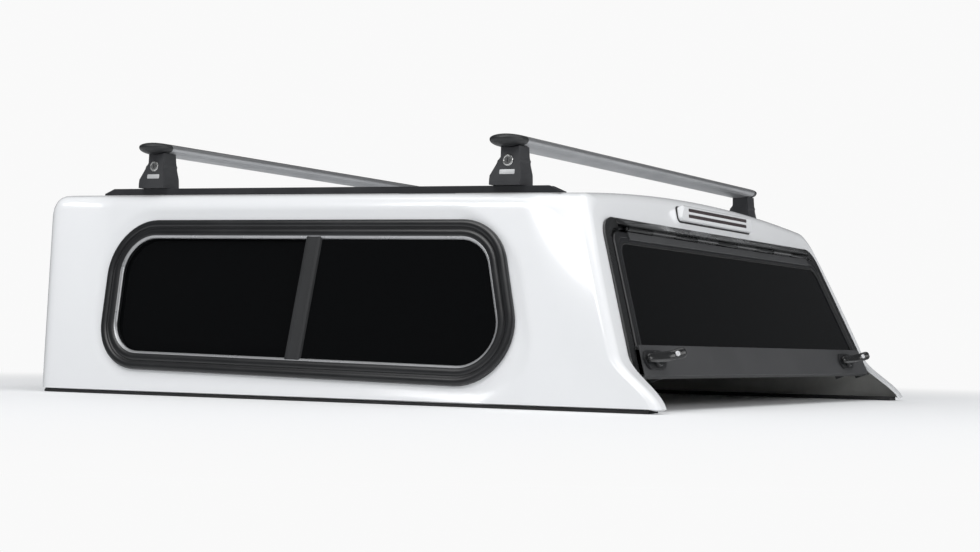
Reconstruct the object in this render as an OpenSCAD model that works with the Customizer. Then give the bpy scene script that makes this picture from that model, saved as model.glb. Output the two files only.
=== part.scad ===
// Hard canopy for the bed of a compact pickup: a moulded shell with side windows, a lift-up rear
// door on gas struts, and two crossbars on roof tracks.
// X runs across, +Y points to the front wall, +Z is up, and the seals rest on z = 0.

/* [Shell] */
// Width across the base
base_w = 1432; // [1320:2:1560]
// Length along the base, from the front wall to the tips of the rear toes
base_l = 1452; // [1400:5:1600]
// Height of the roof's crown over y = 0
crown_h = 436; // [430:1:470]
// Radius of the roof's curve from side to side
roof_r = 6500; // [5000:100:9000]
// Rise of the roof towards the front, in degrees
roof_pitch = 1.3; // [0:0.1:2.5]
// Thickness of the moulded wall
wall_t = 6; // [4:0.5:9]
// Forward lean of the front wall, in degrees
front_lean = 6.3; // [0:0.1:10]
// Forward lean of the rear wall and door, in degrees
rear_lean = 21.5; // [15:0.1:26]
// Inward lean of each side over its flat window field, in degrees
side_lean = 13.6; // [10:0.1:16]
// Inward lean of each side at the front corner, in degrees
front_tuck = 9; // [6:0.5:13]
// Inward lean of each side at the rear corner, near the base, in degrees
rear_tuck = 9; // [6:0.5:13]
// Extra tuck of the rear corner at the crown's height
rear_bow = 81; // [0:1:100]
// Length over which the front corner's lean blends into the window field
front_blend = 170; // [100:5:170]
// Length over which the rear corner's lean blends into the window field
rear_blend = 120; // [60:5:125]
// Setback of the rounded shoulder between side and roof
shoulder = 28; // [15:1:34]
// Radius of the rounded front corners
front_r = 45; // [20:1:60]
// Radius of the rounded rear corners
rear_r = 18; // [14:1:24]
// Length of the toe that each side throws back over the bed's end
toe_l = 55; // [20:1:70]
// Height of the toe
toe_h = 100; // [80:1:120]
// Length over which a side swings out into its toe
toe_run = 140; // [80:5:200]
// Width of the flange that lies on the bed rail
flange_w = 50; // [35:1:70]

/* [Base seal] */
// Height of the seal under the flange
seal_h = 8; // [4:0.5:14]
// Width of the seal
seal_w = 44; // [20:1:48]
// Setback of the seal from the shell's outer face
seal_setback = 3; // [2:0.5:8]

/* [Side windows] */
// Length of a side window over its frame, halfway up
window_l = 984; // [800:1:986]
// Height of a side window over its frame, up the slope of the side
window_h = 320; // [260:1:324]
// Lean of the window's front end, its foot towards the rear, in degrees
window_front_rake = 5.7; // [0:0.1:8]
// Lean of the window's rear end, its foot towards the rear, in degrees
window_rear_rake = 18.2; // [10:0.1:18.6]
// Corner radius of the window frame
window_r = 110; // [60:1:120]
// Place of the window's middle along the canopy
window_y = 59; // [54:1:64]
// Height of the window's middle above the seal, up the slope of the side
window_up = 198; // [193:1:204]
// Fall of the window towards the rear, in degrees
window_rake = 1.1; // [0:0.1:1.6]
// Place of the meeting stile, behind the window's middle
stile_back = 21; // [-60:1:60]
// Visible width of the outer window frame
window_flange = 18; // [14:1:24]
// Visible width of a sash bar
sash_w = 19; // [14:1:26]

/* [Front window] */
// Distance of the front window's frame from each end of the base, across
front_window_side = 176; // [166:2:316]
// Height of the front window over its frame
front_window_h = 270; // [200:1:280]
// Corner radius of the front window
front_window_r = 60; // [20:1:90]
// Height of the front window's middle, up the slope of the wall
front_window_up = 215; // [200:1:225]

/* [Rear door] */
// Distance of the surround's upper corners inside the base's edge, across
door_top_inset = 149; // [142:1:190]
// Distance of the surround's lower ends inside the base's edge, across
door_low_inset = 57; // [52:1:80]
// Height of the surround's top, up the slope
door_top = 381; // [372:1:383]
// Height of the door's lower edge, up the slope
door_low = 64; // [58:1:80]
// Corner radius at the top of the surround
door_r = 56; // [30:1:70]
// Visible width of the surround
surround_w = 22; // [18:0.5:26]
// Running gap between the door and its surround
door_gap = 5; // [5:0.5:8]
// Visible width of the door's frame
door_frame_w = 21; // [16:0.5:28]
// Height of the door's bottom rail
rail_h = 59; // [50:1:70]
// Depth of the bottom rail
rail_d = 18; // [16:0.5:24]
// Angle at which the door is drawn, 0 is shut
door_angle = 0; // [0:1:75]

/* [Glass and gauge] */
// Thickness of every pane
glass_t = 4; // [3:0.5:6]
// Gauge of the aluminium frames
gauge = 2.5; // [2:0.1:3.5]
// Depth to which a frame's neck reaches through the shell
neck_d = 22; // [16:1:30]
// Lap of a frame's flange over the edge of its hole
lap = 10; // [6:0.5:11]

/* [Handles] */
// Distance of each handle's spindle inside the surround's lower end
handle_inset = 127; // [127:1:160]
// Distance by which both handles sit to the left of their symmetric places
handle_shift = 42; // [42:1:46]
// Length of the handle's lever
lever_l = 100; // [80:1:104]
// Reach of the lever's free end from the bottom rail
lever_reach = 50; // [34:1:60]
// Width of the lever
lever_w = 20; // [14:1:24]

/* [Gas struts] */
// Distance of each strut inside the surround's upper corner
strut_inset = 56; // [46:1:56]
// Distance of the fixed stud from the hinge axis
strut_arm = 60; // [50:1:66]
// Angle between the fixed stud and the door's stud at the hinge, door shut
strut_angle = 39.4; // [36:0.1:42]
// Distance of the door's stud below the hinge axis
stud_drop = 258; // [250:1:262]
// Distance of the door's stud inside the hinge axis
stud_in = 34; // [32:0.5:40]
// Radius of the strut's tube
tube_r = 9; // [8:0.5:10]
// Radius of the strut's rod
rod_r = 4; // [3:0.5:4.5]

/* [Roof rack] */
// Distance of each track's middle inside the base's edge
track_inset = 138; // [136:1:176]
// Place of the track's front end
track_front = 632; // [560:1:636]
// Length of a track
track_l = 1118; // [1050:1:1120]
// Width of a track
track_w = 24; // [24:1:32]
// Height of a track
track_h = 13; // [12:0.5:20]
// Place of the front crossbar
front_bar_y = 494; // [440:1:496]
// Place of the rear crossbar
rear_bar_y = -370; // [-380:1:-330]
// Reach of a crossbar, with its end cap, past the track's middle
bar_reach = 46; // [40:1:90]
// Chord of a crossbar's wing section
bar_chord = 76; // [60:1:84]
// Thickness of a crossbar
bar_t = 30; // [24:1:36]
// Wall of a crossbar
bar_wall = 3; // [2:0.5:4]
// Height of the feet, from the track to the bar's underside
foot_h = 68; // [55:1:80]
// Length of a foot along the track
foot_l = 80; // [70:1:100]
// Width of a foot
foot_w = 52; // [44:1:60]

/* [Brake light] */
// Width of the brake light's housing
light_w = 392; // [300:2:440]
// Height of the brake light's housing
light_h = 32; // [26:0.5:33]
// Height of the housing's lower edge above the surround
light_gap = 19; // [16:0.5:20]

/* [Hidden] */
$fn = 48;

half_w = base_w / 2;
front_slope = tan(front_lean);
rear_slope = tan(rear_lean);
front_y = (base_l - front_slope * crown_h) / 2;
rear_y = front_y - base_l + toe_l;
fit = 0.3;
far = 3000;
hole_clear = 0.5;
seam = 0.3;
track_x = half_w - track_inset;
bar_l = 2 * (track_x + bar_reach);
door_top_half = half_w - door_top_inset;
door_low_half = half_w - door_low_inset;
strut_x = door_top_half - strut_inset;
function handle_x(side) = side * (door_low_half - handle_inset) - handle_shift;
front_window_w = base_w - 2 * front_window_side;
flange_in = half_w - max(flange_w, front_r + 2);

// Rows of the moulded shell's grid
low_rows = 6;
side_rows = 4;
shoulder_rows = 5;
roof_rows = 7;
blend_rows = 4;
middle_rows = 3;
roll_rows = 5;

function mix(a, b, t) = a + (b - a) * t;
function smooth(t) = let (c = max(0, min(1, t))) c * c * (3 - 2 * c);
function unit(v) = v / norm(v);

// The moulded surface: the roof's height, a side's half width, and the toe's throw at a height
function roof_z(x, y) = crown_h + tan(roof_pitch) * y - roof_r + sqrt(roof_r * roof_r - x * x);
function front_share(y, z) = smooth(1 - (front_y + front_slope * z - y) / front_blend);
function rear_share(y, z) = smooth(1 - (y - rear_y - rear_slope * z) / rear_blend);
function side_x(y, z) =
    let (f = front_share(y, z), r = rear_share(y, z))
    half_w - (z - seal_h) * mix(mix(tan(side_lean), tan(front_tuck), f), tan(rear_tuck), r)
        - pow((z - seal_h) / crown_h, 2) * rear_bow * r;
function toe(z) = toe_l * smooth((toe_h - z) / (toe_h - seal_h));

// A station is a leaning plane across the shell: [y at z = 0, slope, inset, share of the toe].
// An inset of t makes the inner face. The end stations roll round into the end walls.
function station_front(t, a) =
    [front_y - t - (front_r - t) * (1 - cos(a)), front_slope, t + (front_r - t) * (1 - sin(a)), 0];
function station_rear(t, a) =
    [rear_y + t + (rear_r - t) * (1 - cos(a)), rear_slope, t + (rear_r - t) * (1 - sin(a)), 1];
// Between them, stations lie parallel to each end through its blends, and fan out in the middle
front_zone = front_blend;
rear_zone = max(rear_blend, rear_r + toe_run);
function station_at(t, y, slope) =
    [y, slope, t, smooth(1 - (y - rear_y - rear_r) / toe_run)];
function stations(t) = [
    for (i = [0 : roll_rows - 1]) station_front(t, 90 * i / roll_rows),
    for (i = [0 : blend_rows]) station_at(
        t, front_y - mix(front_r, front_zone, i / blend_rows), front_slope),
    for (i = [1 : middle_rows - 1]) station_at(
        t, mix(front_y - front_zone, rear_y + rear_zone, i / middle_rows),
        mix(front_slope, rear_slope, i / middle_rows)),
    for (i = [blend_rows : -1 : 0]) station_at(
        t, rear_y + mix(rear_r, rear_zone, i / blend_rows), rear_slope),
    for (i = [roll_rows - 1 : -1 : 0]) station_rear(t, 90 * i / roll_rows)
];

// Where side and roof would meet at a station if the shoulder were sharp
function corner_z(s, z, n) =
    n == 0 ? z : corner_z(s, roof_z(side_x(s[0] + s[1] * z, z), s[0] + s[1] * z), n - 1);
function on_station(s, x, z) = [x, s[0] + s[1] * z - toe(z) * s[3], z];
function side_point(s, z) = on_station(s, side_x(s[0] + s[1] * z, z) - s[2], z);
function roof_point(s, x) =
    let (top = roof_z(x, s[0] + s[1] * crown_h), z = roof_z(x, s[0] + s[1] * top) - s[2])
    on_station(s, x, z);
function curve_point(s, a, b, c, t) =
    let (p = a * (1 - t) * (1 - t) + b * 2 * t * (1 - t) + c * t * t) on_station(s, p[0], p[2]);

function side_top(s) = corner_z(s, crown_h, 4) - s[2] - shoulder;
function side_strip(s, base_z) =
    let (top = side_top(s))
    concat(
        [for (i = [0 : low_rows]) side_point(s, mix(base_z, toe_h, i / low_rows))],
        [for (i = [1 : side_rows]) side_point(s, mix(toe_h, top, i / side_rows))]
    );
function shoulder_strip(s) =
    let (z = corner_z(s, crown_h, 4),
         x = side_x(s[0] + s[1] * z, z) - s[2],
         a = side_point(s, side_top(s)),
         b = on_station(s, x, z - s[2]),
         c = roof_point(s, x - shoulder))
    [for (i = [0 : shoulder_rows]) curve_point(s, a, b, c, i / shoulder_rows)];
function roof_strip(s) =
    let (edge = shoulder_strip(s), x = edge[shoulder_rows][0])
    concat(edge, [for (i = [1 : roof_rows]) roof_point(s, x * (1 - i / roof_rows))]);
function mirrored(points) = [for (i = [len(points) - 2 : -1 : 0])
    [-points[i][0], points[i][1], points[i][2]]];
function wall_outline(end) =
    let (s = end + [0, 0, seam, 0], half = concat(side_strip(s, seal_h), roof_strip(s)))
    concat(
        [for (p = half) [p[0], p[2]]],
        [for (i = [len(half) - 1 : -1 : 0]) [-half[i][0], half[i][2]]]
    );

// A closed sheet between an outer and an inner grid of points, both [station][row]
module sheet(outer, inner) {
    rows = len(outer);
    cols = len(outer[0]);
    function at(side, i, j) = side * rows * cols + i * cols + j;
    function pair(a, b, c, d) = [[a, b, c], [a, c, d]];
    faces = concat(
        [for (i = [0 : rows - 2], j = [0 : cols - 2], f = pair(
            at(0, i, j), at(0, i + 1, j), at(0, i + 1, j + 1), at(0, i, j + 1))) f],
        [for (i = [0 : rows - 2], j = [0 : cols - 2], f = pair(
            at(1, i, j), at(1, i, j + 1), at(1, i + 1, j + 1), at(1, i + 1, j))) f],
        [for (i = [0 : rows - 2], f = pair(
            at(0, i, 0), at(1, i, 0), at(1, i + 1, 0), at(0, i + 1, 0))) f],
        [for (i = [0 : rows - 2], f = pair(
            at(0, i, cols - 1), at(0, i + 1, cols - 1), at(1, i + 1, cols - 1), at(1, i, cols - 1))) f],
        [for (j = [0 : cols - 2], f = pair(
            at(0, 0, j), at(0, 0, j + 1), at(1, 0, j + 1), at(1, 0, j))) f],
        [for (j = [0 : cols - 2], f = pair(
            at(0, rows - 1, j), at(1, rows - 1, j), at(1, rows - 1, j + 1), at(0, rows - 1, j + 1))) f]
    );
    polyhedron(
        points = concat([for (r = outer) each r], [for (r = inner) each r]),
        faces = faces, convexity = 8);
}

// Rounded outlines
function arc_corner(a, b, c, r, n) =
    let (u = unit(a - b), v = unit(c - b), h = acos(u * v) / 2,
         m = b + unit(u + v) * r / sin(h),
         p = b + u * r / tan(h) - m, q = b + v * r / tan(h) - m, w = 180 - 2 * h)
    [for (i = [0 : n]) m + (p * sin(w * (1 - i / n)) + q * sin(w * i / n)) / sin(w)];
function round_polygon(points, radii, n = 8) =
    let (k = len(points))
    [for (i = [0 : k - 1], p = radii[i] > 0
        ? arc_corner(points[(i + k - 1) % k], points[i], points[(i + 1) % k], radii[i], n)
        : [points[i]]) p];
function round_box(w, h, r, n = 8) =
    round_polygon([[-w, -h] / 2, [w, -h] / 2, [w, h] / 2, [-w, h] / 2], [r, r, r, r], n);

// Local frames: x across, y up the slope, z out of the wall
module on_left_side() {
    translate([-half_w, 0, seal_h]) rotate([0, side_lean, 0]) rotate([90, 0, -90]) children();
}
module on_front() {
    translate([0, front_y, 0]) rotate([0, 0, 180]) rotate([90 + front_lean, 0, 0]) children();
}
module on_rear() {
    translate([0, rear_y, 0]) rotate([90 - rear_lean, 0, 0]) children();
}
module ring(outer, inner, z0, z1) {
    translate([0, 0, z0]) linear_extrude(z1 - z0) difference() {
        polygon(outer);
        polygon(inner);
    }
}

// Side windows
function window_outline(inset) =
    let (h = window_h / 2 - inset, r = window_r - inset,
         a = inset / cos(window_front_rake) - window_l / 2, da = h * tan(window_front_rake),
         b = window_l / 2 - inset / cos(window_rear_rake), db = h * tan(window_rear_rake))
    round_polygon([[a + da, -h], [b + db, -h], [b - db, h], [a - da, h]], [r, r, r, r]);
module window_place() {
    on_left_side() translate([-window_y, window_up, 0]) rotate([0, 0, -window_rake]) children();
}
module right() { mirror([1, 0, 0]) children(); }

module side_wall() {
    outer = [for (s = stations(0)) concat(
        [on_station(s, flange_in, seal_h)], side_strip(s, seal_h))];
    inner = [for (s = stations(wall_t)) concat(
        [on_station(s, flange_in, seal_h + wall_t)], side_strip(s, seal_h + wall_t))];
    difference() {
        right() sheet(outer, inner);
        window_place() translate([0, 0, -far / 10]) linear_extrude(far / 5)
            polygon(window_outline(lap));
    }
}
module left_side() { color("white") side_wall(); }
module right_side() { color("white") right() side_wall(); }

module roof() {
    color("white") right() sheet(
        [for (s = stations(0)) let (p = roof_strip(s)) concat(p, mirrored(p))],
        [for (s = stations(wall_t)) let (p = roof_strip(s)) concat(p, mirrored(p))]);
}

// The end walls: a leaning band, trimmed to the outline that the rolled corners leave
module across(outline) {
    translate([-far / 2, 0, 0]) rotate([90, 0, 90]) linear_extrude(far) polygon(outline);
}
module along(outline) {
    translate([0, far / 2, 0]) rotate([90, 0, 0]) linear_extrude(far) polygon(outline);
}
// Room for the sides' flanges at the lower corners of the end walls
module flange_room() {
    both() translate([flange_in - seam, -far / 2, 0]) cube([far, far, seal_h + wall_t + seam]);
}
front_band = [
    [front_y, 0], [front_y + front_slope * far / 4, far / 4],
    [front_y + front_slope * far / 4 - wall_t, far / 4], [front_y - wall_t, 0]
];
rear_line = concat(
    [for (i = [0 : low_rows]) let (z = mix(seal_h, toe_h, i / low_rows))
        [rear_y + rear_slope * z - toe(z), z]],
    [[rear_y + rear_slope * far / 4, far / 4]]);
rear_band = concat(rear_line, [for (i = [len(rear_line) - 1 : -1 : 0]) rear_line[i] + [wall_t, 0]]);

module front_wall() {
    color("white") difference() {
        union() {
            intersection() {
                across(front_band);
                along(wall_outline(station_front(0, 0)));
            }
            translate([seam - flange_in, front_y - flange_w, seal_h])
                cube([2 * (flange_in - seam), flange_w - wall_t / 2, wall_t]);
        }
        on_front() translate([0, front_window_up, -far / 10]) linear_extrude(far / 5)
            polygon(front_window_outline(lap));
        flange_room();
    }
}

// The rear wall is one moulding with the sides, split here beside and over the doorway
function door_half(up) = mix(door_low_half, door_top_half, (up - door_low) / (door_top - door_low));
door_slant = norm([1, (door_low_half - door_top_half) / (door_top - door_low)]);
function doorway(side, top, low, r) = round_polygon(
    [[-door_half(low) + side * door_slant, low],
     [door_half(low) - side * door_slant, low],
     [door_half(door_top - top) - side * door_slant, door_top - top],
     [-door_half(door_top - top) + side * door_slant, door_top - top]], [0, 0, r, r]);
post_split = door_top - door_r;

module rear_wall(low, high, side) {
    color("white") difference() {
        intersection() {
            across(rear_band);
            along(wall_outline(station_rear(0, 0)));
            on_rear() translate([side < 0 ? -far : side > 0 ? 0 : -far / 2, low, -far / 10])
                cube([far, high - low, far / 5]);
        }
        on_rear() {
            translate([0, 0, -far / 10]) linear_extrude(far / 5)
                polygon(doorway(lap, lap, -door_top, door_r - lap));
            linear_extrude(far / 5)
                polygon(doorway(-hole_clear, -hole_clear, -door_top, door_r + hole_clear));
        }
        flange_room();
    }
}
module rear_header() { rear_wall(post_split, far / 4, 0); }
module left_rear_post() { rear_wall(-far / 4, post_split, -1); }
module right_rear_post() { rear_wall(-far / 4, post_split, 1); }

// Seals that rest on the bed rails and on the bed's front lip
side_seal_l = base_l - toe_l / 2;
module side_seal() {
    color("black") translate([seal_setback - half_w, front_y - seal_setback - side_seal_l, 0])
        cube([seal_w, side_seal_l, seal_h]);
}
module left_base_seal() { side_seal(); }
module right_base_seal() { right() side_seal(); }
module front_base_seal() {
    color("black") translate([seal_setback + seal_w - half_w, front_y - seal_setback - seal_w, 0])
        cube([base_w - 2 * (seal_setback + seal_w), seal_w, seal_h]);
}

// Levels of a window's layers, out of the side's face
flange_t = 5;
bead_z = -3;
sash_depth = 12;
sash_z = bead_z - glass_t - 1 - sash_depth;
module window_frame() {
    color("#1b1c1e") window_place() {
        ring(window_outline(0), window_outline(window_flange), 0, flange_t);
        ring(window_outline(lap + hole_clear), window_outline(window_flange), -neck_d, 0);
        translate([0, 0, bead_z]) linear_extrude(flange_t) difference() {
            window_half(1, 0, sash_w);
            window_half(1, sash_w, -sash_w);
        }
    }
}
// The glazed opening in front of (-1) or behind (1) the meeting stile, grown or cut back past its middle
module window_half(side, inset, past) {
    intersection() {
        polygon(window_outline(window_flange + inset));
        translate([side < 0 ? stile_back + past - far : stile_back - past, -far / 2]) square(far);
    }
}
module window_sash() {
    color("#202124") window_place() difference() {
        translate([0, 0, sash_z]) linear_extrude(sash_depth) difference() {
            window_half(-1, fit, sash_w);
            window_half(-1, sash_w, -sash_w / 2);
        }
        translate([0, 0, sash_z + glass_t]) linear_extrude(glass_t) sliding_pane(0);
    }
}
module sliding_pane(clearance) {
    window_half(-1, sash_w / 2 + clearance, -clearance);
}
module fixed_glass() {
    color("#0c0d0e") window_place() translate([0, 0, bead_z - glass_t]) linear_extrude(glass_t)
        window_half(1, fit, sash_w - fit);
}
module sliding_glass() {
    color("#0c0d0e") window_place() translate([0, 0, sash_z + glass_t]) linear_extrude(glass_t)
        sliding_pane(0);
}
module left_window_frame() { window_frame(); }
module right_window_frame() { right() window_frame(); }
module left_window_sash() { window_sash(); }
module right_window_sash() { right() window_sash(); }
module left_fixed_glass() { fixed_glass(); }
module right_fixed_glass() { right() fixed_glass(); }
module left_sliding_glass() { sliding_glass(); }
module right_sliding_glass() { right() sliding_glass(); }

// A latch block with a finger tab on the inside of each sliding sash
latch_l = 46;
latch_w = 14;
latch_up = 62;
module latch() {
    window_place() translate([stile_back + sash_w / 4, latch_up - window_h / 2, sash_z - latch_w]) {
        translate([-latch_w / 2, -latch_l / 2, 0]) cube([latch_w, latch_l, latch_w]);
        translate([-latch_w / 2 - latch_w, -latch_w / 2, 0]) cube([latch_w, latch_w, latch_w / 3]);
    }
}
module window_latches() {
    color("#2a2b2d") {
        latch();
        right() latch();
    }
}

// Front window, one fixed pane
function front_window_outline(inset) = round_box(
    front_window_w - 2 * inset, front_window_h - 2 * inset, front_window_r - inset);
module front_window_place() {
    on_front() translate([0, front_window_up, 0]) children();
}
module front_window_frame() {
    color("#1b1c1e") front_window_place() {
        ring(front_window_outline(0), front_window_outline(window_flange), 0, flange_t);
        ring(front_window_outline(lap + hole_clear), front_window_outline(window_flange), -neck_d, 0);
        ring(front_window_outline(window_flange), front_window_outline(2 * window_flange),
            bead_z, bead_z + flange_t);
    }
}
module front_window_glass() {
    color("#0c0d0e") front_window_place() translate([0, 0, bead_z - glass_t])
        linear_extrude(glass_t) polygon(front_window_outline(window_flange + fit));
}

// Rear door. Its parts are drawn in the rear wall's frame and swing about the hinge axis.
hinge_up = door_top - surround_w - 1;
hinge_z = 11;
knuckle_r = 5;
pin_r = 2.5;
pin_clear = 0.05;
hinge_l = 2 * (door_top_half - door_r - surround_w);
knuckles = 9;
knuckle_gap = 0.4;
module on_door() {
    on_rear() translate([0, hinge_up, hinge_z]) rotate([-door_angle, 0, 0])
        translate([0, -hinge_up, -hinge_z]) children();
}
module along_x(l) {
    translate([-l / 2, 0, 0]) rotate([90, 0, 90]) linear_extrude(l) children();
}
// Every second knuckle from the one numbered first, with its leaf on one side of the axis
module hinge_half(first, leaf_up, leaf_z, leaf_w) {
    pitch = hinge_l / knuckles;
    for (i = [first : 2 : knuckles - 1])
        translate([(i + 0.5) * pitch - hinge_l / 2, 0, 0]) difference() {
            union() {
                translate([0, hinge_up, hinge_z]) rotate([0, 90, 0])
                    cylinder(r = knuckle_r, h = pitch - knuckle_gap, center = true);
                translate([(knuckle_gap - pitch) / 2, leaf_up, leaf_z])
                    cube([pitch - knuckle_gap, leaf_w, gauge]);
            }
            translate([0, hinge_up, hinge_z]) rotate([0, 90, 0])
                cylinder(r = pin_r + pin_clear, h = pitch, center = true);
        }
}

// A hood on the surround, whose lip bends over the upper side of the knuckles
hood_r = knuckle_r + 0.8;
hood_t = 2.6;
hood_end = 85;
hood_steps = 8;
function hood_arc(r, a, b) = [for (i = [0 : hood_steps]) let (w = mix(a, b, i / hood_steps))
    [hinge_up + r * cos(w), hinge_z + r * sin(w)]];
module hinge_hood() {
    along_x(hinge_l + 2 * surround_w) polygon(concat(
        [[hinge_up + hood_r, flange_t / 2], [door_top - 1, flange_t / 2], [door_top - 1, flange_t + 1]],
        hood_arc(hood_r + hood_t, 30, hood_end), hood_arc(hood_r, hood_end, 0)));
}

// The struts: a fixed stud on the surround, a stud on the door, both beside the hinge
stud_angle = atan(stud_in / stud_drop) + strut_angle;
fixed_up = hinge_up - strut_arm * cos(stud_angle);
fixed_z = hinge_z - strut_arm * sin(stud_angle);
moving_up = hinge_up - stud_drop;
moving_z = hinge_z - stud_in;
strut_shut = norm([fixed_up - moving_up, fixed_z - moving_z]);
strut_tilt = atan2(moving_z - fixed_z, fixed_up - moving_up);
stud_r = 4;
eye_r = 8;
eye_w = 10;
eye_gap = 0.5;
ear_t = 3;
tube_end = 135;
rod_l = 175;
tube_neck = 12;
tube_floor = 6;
collar = 6;
piston_l = 8;

module stud_bracket() {
    face = door_half(fixed_up + eye_r) - surround_w * door_slant;
    translate([face - ear_t, fixed_up - eye_r, fixed_z - eye_r])
        cube([ear_t + gauge, 2 * eye_r, eye_r - fixed_z - frame_front - door_gap]);
    translate([strut_x - eye_w / 2 - 2, fixed_up, fixed_z]) rotate([0, 90, 0])
        cylinder(r = stud_r, h = face - strut_x + eye_w / 2 + 2);
}
module door_surround() {
    color("#191a1c") on_rear() {
        ring(doorway(0, 0, door_low, door_r),
            doorway(surround_w, surround_w, -door_top, door_r - surround_w), 0, flange_t);
        ring(doorway(lap + hole_clear, lap + hole_clear, door_low, door_r - lap - hole_clear),
            doorway(surround_w, surround_w, -door_top, door_r - surround_w), -neck_d, 0);
        hinge_half(0, hinge_up + 1, flange_t, surround_w - gauge);
        hinge_hood();
        stud_bracket();
        right() stud_bracket();
    }
}
module door_hinge_pin() {
    color("silver") on_rear() translate([0, hinge_up, hinge_z]) rotate([0, 90, 0])
        cylinder(r = pin_r, h = hinge_l, center = true);
}

rail_top = door_low + rail_h;
rail_mid = door_low + rail_h / 2;
rail_front = 12;
frame_front = 8;
door_side = surround_w + door_gap;
door_over = door_side + 3;
function door_shape(inset, low) =
    doorway(door_side + inset, door_over + inset, low, door_r - door_side - inset);
module door_frame() {
    color("#232427") on_door() {
        ring(door_shape(0, rail_top), door_shape(door_frame_w, -door_top), glass_t, frame_front);
        ring(door_shape(0, rail_top), door_shape(gauge, -door_top), -frame_front, glass_t);
        hinge_half(1, hinge_up - 1 - surround_w, frame_front, surround_w);
    }
}
module door_glass() {
    color("#0c0d0e") on_door() linear_extrude(glass_t) polygon(door_shape(gauge + fit, rail_top));
}
module rail_ear() {
    difference() {
        translate([strut_x + eye_w / 2 + eye_gap, door_low + gauge / 2, moving_z - eye_r])
            cube([ear_t, rail_h - gauge, rail_front - gauge / 2 - moving_z + eye_r]);
        translate([strut_x, moving_up, moving_z]) rotate([0, 90, 0])
            cylinder(r = stud_r, h = 4 * eye_w, center = true);
    }
}
module door_bottom_rail() {
    color("#46474a") on_door() difference() {
        union() {
            intersection() {
                along_x(far) difference() {
                    translate([door_low, rail_front - rail_d]) square([rail_h, rail_d]);
                    translate([door_low + gauge, -far]) square([rail_h - 2 * gauge, far + rail_front - gauge]);
                }
                translate([0, 0, -far / 2]) linear_extrude(far) polygon(door_shape(0, door_low));
            }
            rail_ear();
            right() rail_ear();
        }
        for (side = [-1, 1])
            translate([handle_x(side), rail_mid, 0]) cylinder(r = spindle_r + 2, h = 2 * rail_front);
    }
}

// Handles: a plate on the bottom rail, and a lever on a spindle with a cam inside the rail
spindle_r = 6;
plate_l = 84;
plate_w = 36;
plate_t = 5;
rotor_r = 15;
rotor_h = 7;
cam_l = 40;
cam_w = 14;
cam_t = 4;
cam_z = rail_front - gauge - cam_t - 3;
lever_t = 11;
module on_handle(side) {
    on_door() translate([handle_x(side), rail_mid, rail_front]) children();
}
module handle_base(side) {
    color("#17181a") on_handle(side) difference() {
        linear_extrude(plate_t) polygon(round_box(plate_l, plate_w, plate_w / 2 - 1));
        translate([0, 0, -plate_t]) cylinder(r = spindle_r + pin_clear, h = 3 * plate_t);
    }
}
lever_profile = round_polygon([
    [-lever_l / 2, plate_t + fit + rotor_h / 2], [lever_l / 4, plate_t + fit + rotor_h],
    [lever_l / 2, lever_reach - lever_t], [lever_l / 2, lever_reach],
    [lever_l / 2 - lever_t, lever_reach], [-lever_l / 2, plate_t + rotor_h + lever_t / 2]
], [3, 0, 6, 6, 6, 3], 4);
lever_plan = round_polygon([
    [-lever_l / 2, -lever_w / 2 + 2], [lever_l / 2, -lever_w / 2],
    [lever_l / 2, lever_w / 2], [-lever_l / 2, lever_w / 2 - 2]
], [lever_w / 2 - 3, lever_w / 2 - 1, lever_w / 2 - 1, lever_w / 2 - 3], 5);
module handle_lever(side) {
    color("#141517") on_handle(side) {
        translate([0, 0, plate_t + fit]) cylinder(r = rotor_r, h = rotor_h);
        intersection() {
            rotate([90, 0, 0]) linear_extrude(far, center = true) polygon(lever_profile);
            linear_extrude(far) polygon(lever_plan);
        }
        translate([0, 0, cam_z - rail_front])
            cylinder(r = spindle_r, h = rail_front - cam_z + plate_t + rotor_h);
        translate([-cam_l / 2, -cam_w / 2, cam_z - rail_front]) cube([cam_l, cam_w, cam_t]);
    }
}
module left_handle_base() { handle_base(-1); }
module right_handle_base() { handle_base(1); }
module left_handle_lever() { handle_lever(-1); }
module right_handle_lever() { handle_lever(1); }

module on_strut(side) {
    on_rear() translate([side * strut_x, fixed_up, fixed_z]) rotate([90 - strut_tilt, 0, 0]) children();
}
module eye_bore() {
    rotate([0, 90, 0]) cylinder(r = stud_r + pin_clear, h = 2 * eye_w, center = true);
}
module strut_tube(side) {
    color("#101112") on_strut(side) difference() {
        union() {
            rotate([0, 90, 0]) cylinder(r = eye_r, h = eye_w, center = true);
            cylinder(r = eye_w / 2, h = tube_neck + 1);
            translate([0, 0, tube_neck]) rotate_extrude() polygon([
                [0, 0], [tube_r, 0], [tube_r, tube_end - tube_neck],
                [rod_r + pin_clear, tube_end - tube_neck],
                [rod_r + pin_clear, tube_end - collar - tube_neck],
                [tube_r - gauge, tube_end - collar - tube_neck],
                [tube_r - gauge, tube_floor], [0, tube_floor]
            ]);
        }
        eye_bore();
    }
}
module strut_rod(side) {
    color("silver") on_strut(side) {
        translate([0, 0, strut_shut - rod_l]) rotate_extrude() polygon([
            [0, 0], [tube_r - gauge - pin_clear, 0], [tube_r - gauge - pin_clear, piston_l],
            [rod_r, piston_l], [rod_r, rod_l - eye_r + 1], [0, rod_l - eye_r + 1]
        ]);
        translate([0, 0, strut_shut]) difference() {
            rotate([0, 90, 0]) cylinder(r = eye_r, h = eye_w, center = true);
            eye_bore();
        }
    }
}
module left_strut_tube() { strut_tube(-1); }
module right_strut_tube() { strut_tube(1); }
module left_strut_rod() { strut_rod(-1); }
module right_strut_rod() { strut_rod(1); }

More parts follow.
